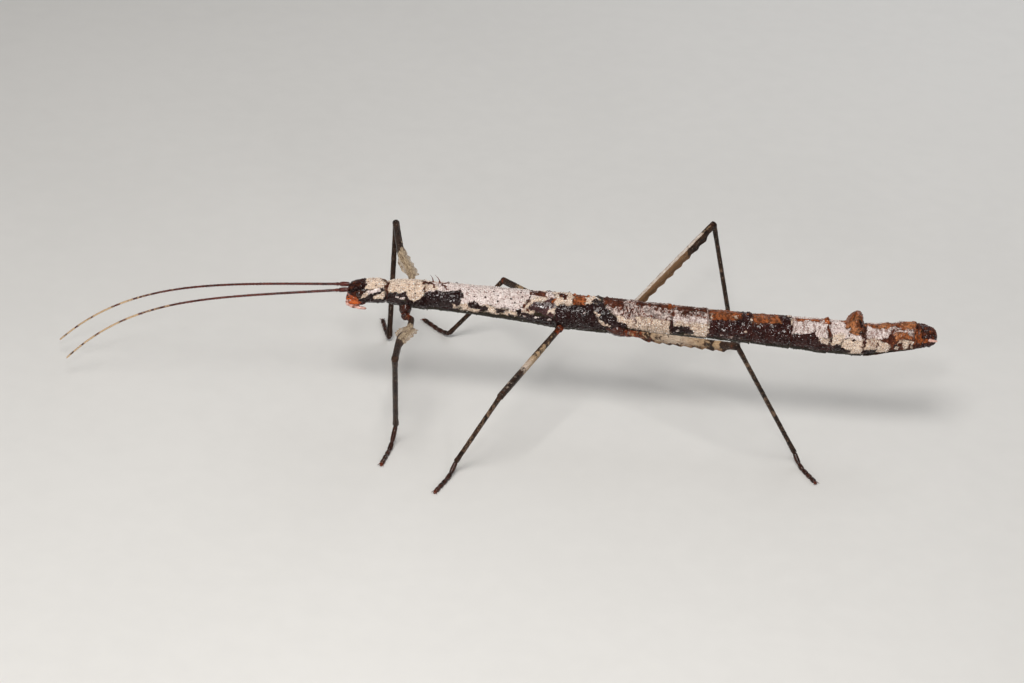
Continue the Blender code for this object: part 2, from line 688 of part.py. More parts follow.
def centre_on_footprint():
    """Move everything so that the middle of the model's footprint is the origin."""
    bpy.context.view_layer.update()
    shown = [o for o in bpy.data.objects if o.type == "MESH" and not o.hide_render]
    graph = bpy.context.evaluated_depsgraph_get()
    corners = []
    for piece in shown:
        solid = piece.evaluated_get(graph)
        corners += [piece.matrix_world @ Vector(corner) for corner in solid.bound_box]
    low = Vector([min(c[i] for c in corners) for i in range(3)])
    high = Vector([max(c[i] for c in corners) for i in range(3)])
    stance = bpy.data.objects.new("stance", None)
    bpy.context.scene.collection.objects.link(stance)
    stance.location = (-(low.x + high.x) / 2, -(low.y + high.y) / 2, 0.0)
    for piece in [o for o in bpy.data.objects if o.type == "MESH"]:
        piece.parent = stance


def main():
    """Clear the scene and build the whole insect."""
    for old in list(bpy.data.objects):
        bpy.data.objects.remove(old, do_unlink=True)
    make_trunk()
    make_head()
    for side, label in ((-1, "left"), (1, "right")):
        for pair in ("fore", "mid", "hind"):
            make_leg(side, label, pair)
    centre_on_footprint()


main()
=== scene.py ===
import math
import bmesh
import bpy
import numpy as np
from mathutils import Matrix, Vector


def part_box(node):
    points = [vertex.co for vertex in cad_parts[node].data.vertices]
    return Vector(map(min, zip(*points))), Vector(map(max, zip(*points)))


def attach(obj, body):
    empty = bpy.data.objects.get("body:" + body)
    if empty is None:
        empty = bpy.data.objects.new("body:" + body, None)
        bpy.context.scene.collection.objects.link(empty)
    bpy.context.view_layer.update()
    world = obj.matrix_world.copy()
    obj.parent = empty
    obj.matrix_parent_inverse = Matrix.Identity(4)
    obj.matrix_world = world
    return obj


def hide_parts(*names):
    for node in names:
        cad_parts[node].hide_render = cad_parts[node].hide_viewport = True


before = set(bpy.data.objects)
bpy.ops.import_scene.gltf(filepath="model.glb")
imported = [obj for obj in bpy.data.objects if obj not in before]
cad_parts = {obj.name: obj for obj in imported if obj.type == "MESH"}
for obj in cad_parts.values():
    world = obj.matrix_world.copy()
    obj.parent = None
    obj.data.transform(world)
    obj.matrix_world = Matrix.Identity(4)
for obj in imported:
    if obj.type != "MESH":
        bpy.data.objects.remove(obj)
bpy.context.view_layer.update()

# Everything is laid out in millimetres in the insect's own frame: head to -X, tail to +X, left side -Y,
# floor at 0. "shift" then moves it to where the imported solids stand.
mm = 0.001
eyePlace = (-43.0, 1.62, 18.15)
eyeLow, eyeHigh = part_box("eye_left")
shift = np.array((eyeLow + eyeHigh) / 2) - np.array((eyePlace[0], -eyePlace[1], eyePlace[2])) * mm
sideLabels = ((-1, "left"), (1, "right"))   # sign of Y and name of each side


def readLine(table, x):
    # A smooth curve through the table's rows (place, values...), read at x.
    rows = np.array(table, float)
    x = np.asarray(x, float)
    spots = rows[:, 0]
    last = len(rows) - 1
    before = np.maximum(np.arange(last + 1) - 1, 0)
    after = np.minimum(np.arange(last + 1) + 1, last)
    slope = (rows[after, 1:] - rows[before, 1:]) / (spots[after] - spots[before])[:, None]
    i = np.clip(np.searchsorted(spots, x, side="right") - 1, 0, last - 1)
    span = (spots[i + 1] - spots[i])[..., None]
    t = np.clip((x[..., None] - spots[i][..., None]) / span, 0, 1)
    return ((2 * t**3 - 3 * t**2 + 1) * rows[i, 1:] + (t**3 - 2 * t**2 + t) * slope[i] * span
            + (3 * t**2 - 2 * t**3) * rows[i + 1, 1:] + (t**3 - t**2) * slope[i + 1] * span)


def ramp(value, start, end):
    # 0 at start and 1 at end, eased at both.
    t = np.clip((np.asarray(value, float) - start) / (end - start), 0, 1)
    return t * t * (3 - 2 * t)


def bump(distance, width):
    # 1 at distance 0, falling off over about its width.
    return np.exp(-(np.asarray(distance) / width) ** 2)


def steps(x, value, changes):
    # A value that changes smoothly along x, by each change between its start and its end.
    for change, start, end in changes:
        value = value + change * ramp(x, start, end)
    return value


def lumps(points, size, seed):
    # Smooth noise from -1 to 1 over points in mm, with lumps about "size" mm across.
    q = np.asarray(points, float) / size + seed * 17.31
    cell = np.floor(q).astype(np.int64)
    f = q - cell
    f = f * f * (3 - 2 * f)
    total = 0.0
    for corner in range(8):
        step = np.array([corner & 1, corner >> 1 & 1, corner >> 2 & 1])
        c = cell + step
        h = (c[..., 0] * 73856093) ^ (c[..., 1] * 19349663) ^ (c[..., 2] * 83492791)
        h = ((h ^ (h >> 13)) * 1274126177) & 0x7FFFFFFF
        value = ((h ^ (h >> 15)) & 0xFFFF) / 32767.5 - 1
        weight = np.prod(np.where(step, f, 1 - f), axis=-1)
        total = total + value * weight
    return total


def setField(mesh, name, values, kind="FLOAT"):
    layer = mesh.attributes.new(name, kind, "POINT")
    layer.data.foreach_set("value" if kind == "FLOAT" else "vector",
                           np.ascontiguousarray(values, np.float32).ravel())


def addObject(name, data):
    thing = bpy.data.objects.new(name, data)
    bpy.context.scene.collection.objects.link(thing)
    return thing


def buildMesh(name, points, faces, fields, material):
    mesh = bpy.data.meshes.new(name)
    mesh.from_pydata((np.asarray(points) * mm + shift).tolist(), [], faces)
    shell = bmesh.new()
    shell.from_mesh(mesh)
    bmesh.ops.recalc_face_normals(shell, faces=shell.faces)
    shell.to_mesh(mesh)
    shell.free()
    mesh.shade_smooth()
    for label, values in fields.items():
        setField(mesh, label, values)
    mesh.materials.append(material)
    return addObject(name, mesh)


def shellFaces(rings, sides, first=0):
    # Quads between closed rings, and fans to a pole at each end. The poles follow the rings' points.
    here = first + np.arange(sides)
    beside = first + (np.arange(sides) + 1) % sides
    faces = []
    for ring in range(rings - 1):
        a, b = here + ring * sides, beside + ring * sides
        faces += np.stack((a, b, b + sides, a + sides), 1).tolist()
    end = (rings - 1) * sides
    pole = np.full(sides, first + rings * sides)
    faces += np.stack((beside, here, pole), 1).tolist()
    faces += np.stack((here + end, beside + end, pole + 1), 1).tolist()
    return faces


def withPoles(grid):
    # grid is rings x sides x n: returns its points with the middle of both end rings added.
    flat = grid.reshape(-1, grid.shape[-1])
    return np.concatenate((flat, grid[0].mean(0)[None], grid[-1].mean(0)[None]))


def poleField(grid):
    # The same for one value at each point.
    return np.concatenate((grid.ravel(), [grid[0].mean()], [grid[-1].mean()]))


def pathFrames(path, up=(0, 0, 1)):
    # Directions along a path, across it and over it, at each of its points.
    along = np.gradient(path, axis=0)
    along /= np.linalg.norm(along, axis=1)[:, None]
    across = np.cross(along, np.array(up, float))
    across /= np.linalg.norm(across, axis=1)[:, None]
    return along, across, np.cross(across, along)


def sweepRings(path, wide, high, turn, up=(0, 0, 1)):
    # Points of an oval round each point of a path: half width and half height at each of the turns.
    _, across, over = pathFrames(path, up)
    return (path[:, None] + across[:, None] * (wide * np.cos(turn))[..., None]
            + over[:, None] * (high * np.sin(turn))[..., None])


def circle(sides):
    return np.arange(sides) * 2 * np.pi / sides


def aroundPath(path, turn, reach=1.0):
    # Places round a path where noise is read, so that it changes round a tube as well as along it.
    return path[:, None] + reach * np.stack((0 * turn, np.cos(turn), np.sin(turn)), -1)


def finishPiece(piece, slot, *nodes):
    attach(piece, "root")
    if nodes:
        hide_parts(*nodes)
    return piece


def put(tree, kind, wires=None, **settings):
    # A new node with its settings. Each wire is a socket to link or a plain value.
    node = tree.nodes.new(kind)
    for key, value in settings.items():
        setattr(node, key, value)
    for socket, value in (wires or {}).items():
        if isinstance(value, bpy.types.NodeSocket):
            tree.links.new(value, node.inputs[socket])
        else:
            node.inputs[socket].default_value = value
    return node


def mixColour(tree, factor, first, second):
    return put(tree, "ShaderNodeMix", {0: factor, 6: first, 7: second}, data_type="RGBA").outputs[2]


def maths(tree, way, *values):
    return put(tree, "ShaderNodeMath", dict(enumerate(values)), operation=way).outputs[0]


def times(tree, first, *others):
    for other in others:
        first = maths(tree, "MULTIPLY", first, other)
    return first


def scaled(tree, value, factor, offset):
    return maths(tree, "MULTIPLY_ADD", value, factor, offset)


def highest(tree, *values):
    top = values[-1]
    for value in values[-2::-1]:
        top = maths(tree, "MAXIMUM", value, top)
    return top


def noise(tree, vector, scale, detail, roughness=0.5, distortion=0.0):
    return put(tree, "ShaderNodeTexNoise", {
        "Vector": vector, "Scale": scale, "Detail": detail, "Roughness": roughness,
        "Distortion": distortion}).outputs["Fac"]


def relief(tree, shader, height, distance, strength):
    bumps = put(tree, "ShaderNodeBump", {"Height": height, "Distance": distance, "Strength": strength})
    tree.links.new(bumps.outputs[0], shader.inputs["Normal"])


def fade(tree, value, low, high, start=0.0, end=1.0):
    return put(tree, "ShaderNodeMapRange", {0: value, 1: low, 2: high, 3: start, 4: end},
               interpolation_type="SMOOTHSTEP").outputs[0]


def field(tree, name):
    return put(tree, "ShaderNodeAttribute", attribute_name=name).outputs["Fac"]


def place(tree):
    return put(tree, "ShaderNodeTexCoord").outputs["Object"]


def rgb(red, green, blue):
    return (red, green, blue, 1.0)


def newGroup(name, inputs, outputs):
    tree = bpy.data.node_groups.new(name, "ShaderNodeTree")
    for label, kind, value in inputs:
        socket = tree.interface.new_socket(label, in_out="INPUT", socket_type=kind)
        socket.default_value = value
    for label, kind in outputs:
        tree.interface.new_socket(label, in_out="OUTPUT", socket_type=kind)
    return tree, tree.nodes.new("NodeGroupInput").outputs, tree.nodes.new("NodeGroupOutput").inputs


def useGroup(tree, group, wires):
    return put(tree, "ShaderNodeGroup", wires, node_tree=group).outputs


def newMaterial(name, constants):
    material = bpy.data.materials.new(name)
    material.use_nodes = True
    tree = material.node_tree
    shader = tree.nodes["Principled BSDF"]
    for label, value in constants.items():
        shader.inputs[label].default_value = value
    return material, tree, shader


scalar = "NodeSocketFloat"

# raggedEdge: turns a marking's distance field (mm, positive inside) into a mask with a torn edge.
raggedEdge, given, result = newGroup(
    "raggedEdge", (("Field", scalar, 0.0), ("Reach", scalar, 0.3), ("Fineness", scalar, 1700.0),
                   ("Soft", scalar, 0.05), ("Bias", scalar, 0.04)), (("Mask", scalar),))
torn = noise(raggedEdge, place(raggedEdge), given["Fineness"], 4.0, 0.68)
torn = times(raggedEdge, maths(raggedEdge, "SUBTRACT", torn, 0.5), 2.4)
torn = scaled(raggedEdge, torn, given["Reach"], given["Field"])
torn = maths(raggedEdge, "ADD", torn, given["Bias"])
mask = fade(raggedEdge, torn, times(raggedEdge, given["Soft"], -1.0), given["Soft"])
raggedEdge.links.new(mask, result["Mask"])

# granules: low rounded grains with dark gaps between them.
granules, given, result = newGroup(
    "granules", (("Scale", scalar, 3400.0), ("Jitter", scalar, 0.9)),
    (("Grain", scalar), ("Gap", scalar), ("Tone", scalar)))
cells = put(granules, "ShaderNodeTexVoronoi", {"Vector": place(granules), "Scale": given["Scale"],
                                               "Randomness": given["Jitter"]})
granules.links.new(fade(granules, cells.outputs["Distance"], 0.55, 0.0), result["Grain"])
granules.links.new(fade(granules, cells.outputs["Distance"], 0.48, 0.72), result["Gap"])
granules.links.new(put(granules, "ShaderNodeSeparateColor", {0: cells.outputs["Color"]}).outputs[0],
                   result["Tone"])

# mottle: broad and fine variation round a half.
mottle, given, result = newGroup(
    "mottle", (("Broad", scalar, 500.0), ("Fine", scalar, 3000.0)), (("Tone", scalar), ("Speck", scalar)))
broad = noise(mottle, place(mottle), given["Broad"], 4.0, 0.6)
fine = noise(mottle, place(mottle), given["Fine"], 2.0)
both = maths(mottle, "ADD", times(mottle, broad, 0.65), times(mottle, fine, 0.35))
mottle.links.new(fade(mottle, both, 0.35, 0.65), result["Tone"])
mottle.links.new(fade(mottle, fine, 0.56, 0.72), result["Speck"])


stageSizes = {"floor": 3.0, "floorColour": rgb(0.74, 0.73, 0.71), "world": rgb(1.0, 0.985, 0.965),
              "worldStrength": 0.20}
cameraSizes = {"lens": 100.0, "elevation": 32.0, "roll": 4.44, "distance": 0.436,
               "target": (-0.01938, 0.0, 0.01073)}
lampAim = (0, 0, 12)   # mm
# name: place round the insect (mm), size (mm), watts, colour
lamps = {
    "keySoftbox": ((-60.0, -150.0, 330.0), 150.0, 0.73, (1.0, 0.975, 0.94)),
    "glintLamp": ((-30.0, -235.0, 235.0), 34.0, 0.16, (1.0, 0.98, 0.96)),
    "lowGlintLamp": ((45.0, -330.0, 95.0), 34.0, 0.15, (1.0, 0.98, 0.96)),
    "rimSoftbox": ((120.0, 230.0, 190.0), 200.0, 0.24, (0.95, 0.97, 1.0)),
    "frontCard": ((-190.0, -260.0, 110.0), 120.0, 0.13, (1.0, 0.99, 0.97)),
}


def buildStage():
    material, tree, shader = newMaterial("paleFloor", {"Roughness": 0.85})
    tone = useGroup(tree, mottle, {"Broad": 14.0, "Fine": 260.0})["Tone"]
    pale = stageSizes["floorColour"]
    tree.links.new(mixColour(tree, tone, pale, rgb(*[c * 0.97 for c in pale[:3]])),
                   shader.inputs["Base Color"])
    half = stageSizes["floor"] / 2
    mesh = bpy.data.meshes.new("floor")
    mesh.from_pydata([(-half, -half, 0), (half, -half, 0), (half, half, 0), (-half, half, 0)], [],
                     [(0, 1, 2, 3)])
    mesh.materials.append(material)
    addObject("floor", mesh)

    world = bpy.data.worlds.new("studio")
    world.use_nodes = True
    background = world.node_tree.nodes["Background"]
    background.inputs["Color"].default_value = stageSizes["world"]
    background.inputs["Strength"].default_value = stageSizes["worldStrength"]
    bpy.context.scene.world = world


def buildLamps():
    middle = Vector(lampAim) * mm + Vector(shift)
    for name, (spot, size, watts, tint) in lamps.items():
        light = bpy.data.lights.new(name, "AREA")
        light.size = size * mm
        light.energy = watts
        light.color = tint
        lamp = addObject(name, light)
        lamp.location = Vector(spot) * mm + Vector(shift)
        lamp.rotation_euler = (middle - lamp.location).to_track_quat("-Z", "Y").to_euler()


def buildCamera():
    tilt = math.radians(cameraSizes["elevation"])
    roll = math.radians(cameraSizes["roll"])
    back = Vector((0, -math.cos(tilt), math.sin(tilt)))
    up = back.cross(Vector((1, 0, 0)))
    across = Vector((1, 0, 0)) * math.cos(roll) + up * math.sin(roll)
    matrix = Matrix((across, back.cross(across), back)).transposed().to_4x4()
    matrix.translation = Vector(cameraSizes["target"]) + Vector(shift) + back * cameraSizes["distance"]
    lens = bpy.data.cameras.new("camera")
    lens.lens = cameraSizes["lens"]
    lens.sensor_width = 36.0
    lens.clip_start = 0.01
    camera = addObject("camera", lens)
    camera.matrix_world = matrix
    bpy.context.scene.camera = camera
    bpy.context.scene.view_settings.view_transform = "Standard"


buildStage()
buildLamps()
buildCamera()
print("stage, lights and camera ready")


neck = -38.9
tailTip = 45.0
trunkLine = (   # place along it, height of its middle, half width, half height
    (neck, 17.95, 1.90, 1.75), (-37.2, 17.98, 2.15, 2.05), (-33.0, 17.85, 2.30, 2.25),
    (-24.5, 17.55, 2.40, 2.40), (-17.0, 17.15, 2.60, 2.60), (-12.5, 16.90, 2.85, 2.80),
    (-7.0, 16.70, 2.85, 2.85), (-2.0, 16.68, 2.80, 2.70), (4.5, 16.68, 2.55, 2.48),
    (10.1, 16.58, 2.40, 2.40), (16.7, 16.36, 2.45, 2.45), (22.8, 16.18, 2.60, 2.60),
    (28.5, 16.03, 2.75, 2.70), (33.9, 16.00, 2.65, 2.60), (37.8, 16.62, 2.45, 2.35),
    (41.0, 17.16, 2.40, 2.30), (42.6, 17.27, 2.05, 1.98), (44.0, 17.30, 1.70, 1.65),
    (tailTip, 17.30, 1.05, 1.10),
)
headLine = (
    (-45.0, 17.60, 1.15, 1.00), (-44.4, 17.62, 1.50, 1.40), (-43.2, 17.72, 1.80, 1.72),
    (-41.6, 17.88, 2.00, 1.92), (-40.1, 17.98, 2.05, 1.90), (neck, 18.00, 1.80, 1.70),
)
ringEdges = (neck, -32.8, -10.7, -0.4, 4.5, 10.1, 16.7, 22.8, 28.5, 33.9, 37.8, 41.8, 43.5)
# How dark the line at a ring's edge is, where it isn't the usual one.
seams = {neck: 1.0, -32.8: 0.15, -10.7: 0.0, -0.4: 0.3, 43.5: 0.4}
usualSeam = 0.75
trunkNodes = ("prothorax", "mesothorax", "metathorax") + tuple(f"abdomen_{k}" for k in range(2, 11))

bodySizes = {
    "inset": 0.06,            # how far the skin lies inside the solids, under its grains
    "sides": 144, "headStep": 0.085, "trunkStep": 0.150,
    "ringFlare": 0.04,        # share by which each ring is wider behind than in front
    "keel": 0.07, "keelWidth": 4.0, "keelFrom": -38, "keelTo": 41,
    "grooveDepth": 0.15, "neckDeeper": 1.35, "grooveWidth": 0.10, "creaseWidth": 0.09,
    "rimSwell": 0.05, "rimBehind": 0.42, "rimWidth": 0.22,
    "lumpSize": 1.1, "lumpHeight": 0.06, "roughSize": 0.42, "roughHeight": 0.075, "paleLumps": 0.03,
    "flankAngle": -13, "flankSoft": 2.5, "flankFrom": -32.5,
    "flankStep": 0.12,        # the back plates end in a torn lower edge, this much proud
    "pitDepth": 0.07, "pitEdge": 0.78, "underPlate": 0.27,
}
faceEnd = {"from": -44.0, "radius": 0.98}   # where the face starts to round over, and over how much
tailEnd = {"from": 44.25, "radius": 0.78}
# How things change along the body: by how much, from x, to x.
rougher = ((1.3, 42.2, 43.0), (0.9, -42.2, -43.0))
wornPlaces = ((0.45, -19, -5), (0.20, 20, 24), (-0.95, 28, 29.5), (1.0, 31.5, 34))
frostedPlaces = ((0.65, 30.3, 31.2), (-0.5, 42.0, 43.0))
crest = {"front": 30.95, "crown": 32.5, "foot": 33.62, "height": 2.24, "halfAngle": 38.0,
         "lobe": 0.28, "hollow": 0.50, "hollows": ((32.9, 66, 0.42), (31.9, 78, 0.36))}
spur = {"front": 27.4, "crown": 28.15, "foot": 28.44, "height": 0.55, "halfAngle": 12.0}
platePlace = {"front": 34.1, "tip": 43.7, "depth": 0.85, "narrowest": 0.35}

# The head's sockets, on both sides of it, and the rings round them: distance, width and height in mm.
headSockets = {
    "eye": ((eyePlace[0], 1.72, eyePlace[2]), ((0.0, 0.42, -0.30), (0.68, 0.14, 0.10))),
    "feeler": ((-44.7, 0.80, 18.3), ((0.52, 0.16, 0.10),)),
}
# Fine seams of the head: angle, its change per mm, about which x, half width in degrees, depth, from x, to x.
headSeams = ((66, 8, -41, 3.0, 0.05, -42.2, neck), (-20, 4, -42, 6, 0.10, -46.0, -41.0))
# Lumps and hollows of the cheek: place, angle, its change per mm, stretch along x, reach, height.
headLumps = ((-40.8, 31, 9, 0.75, 0.34, 0.09), (-40.95, 4, 0, 0.80, 0.42, -0.11),
             (-40.0, 2, 0, 0.90, 0.45, 0.10))

crownLine = {"depth": 0.06, "width": 3.0, "from": -42.8}   # the fine groove on top of the head
brow = {"height": 0.05, "angle": 52, "wide": 9, "place": -43.6, "long": 0.8}

# Low knobs on the skin: place along it, angle up the side, radius in mm, height in mm.
knobs = (
    (4.15, 86, 0.45, 0.34), (16.45, 88, 0.40, 0.22), (22.95, 74, 0.38, 0.18), (39.4, 38, 1.05, 0.20),
    (-9.4, 84, 0.36, 0.28), (-8.3, 78, 0.34, 0.30), (-7.2, 82, 0.40, 0.32), (-6.6, 70, 0.36, 0.26),
    (-10.6, 76, 0.34, 0.24), (-12.3, 86, 0.34, 0.22), (-15.6, 80, 0.34, 0.18), (-14.0, 58, 0.34, 0.20),
    (-13.0, 30, 0.42, 0.14), (-11.8, 12, 0.34, 0.16), (-9.6, 34, 0.30, 0.12), (-7.8, 8, 0.30, 0.14),
    (-5.2, 62, 0.34, 0.22), (-3.4, 18, 0.38, 0.22), (-31.4, 44, 0.34, 0.20), (-29.9, 52, 0.30, 0.18),
    (-28.3, 50, 0.36, 0.22), (-30.6, 24, 0.34, 0.20), (-33.4, 34, 0.30, 0.16), (9.9, 84, 0.34, 0.20),
    (-11.9, -12, 1.9, 0.30), (-12.8, 6, 1.0, 0.16), (-4.3, -18, 1.8, 0.26), (-35.9, -8, 1.6, 0.26),
    (28.2, 66, 0.40, 0.18), (34.2, 84, 0.42, 0.22), (38.0, 80, 0.42, 0.20), (41.5, 72, 0.38, 0.18),
    (-40.3, 62, 0.28, 0.07), (-41.4, 74, 0.26, 0.07), (-37.6, 66, 0.28, 0.07), (-34.3, 70, 0.30, 0.08),
)
# Dark punctures in the pale shell: place, angle, radius.
pits = (
    (-22.7, 75, 0.16), (-22.0, 60, 0.13), (-23.9, 47, 0.17), (-20.0, 53, 0.18), (-22.0, 37, 0.17),
    (-19.4, 39, 0.16), (-18.3, 65, 0.15), (-25.6, 46, 0.16), (-18.6, 83, 0.12), (-26.3, 20, 0.12),
    (-35.4, 43, 0.14), (-34.5, 34, 0.12), (-21.2, 78, 0.11), (-24.7, 66, 0.10), (-19.6, 14, 0.12),
    (-37.1, 62, 0.09), (-31.2, 86, 0.12), (-26.5, 74, 0.10), (-40.6, 58, 0.09), (-20.9, 22, 0.10),
)
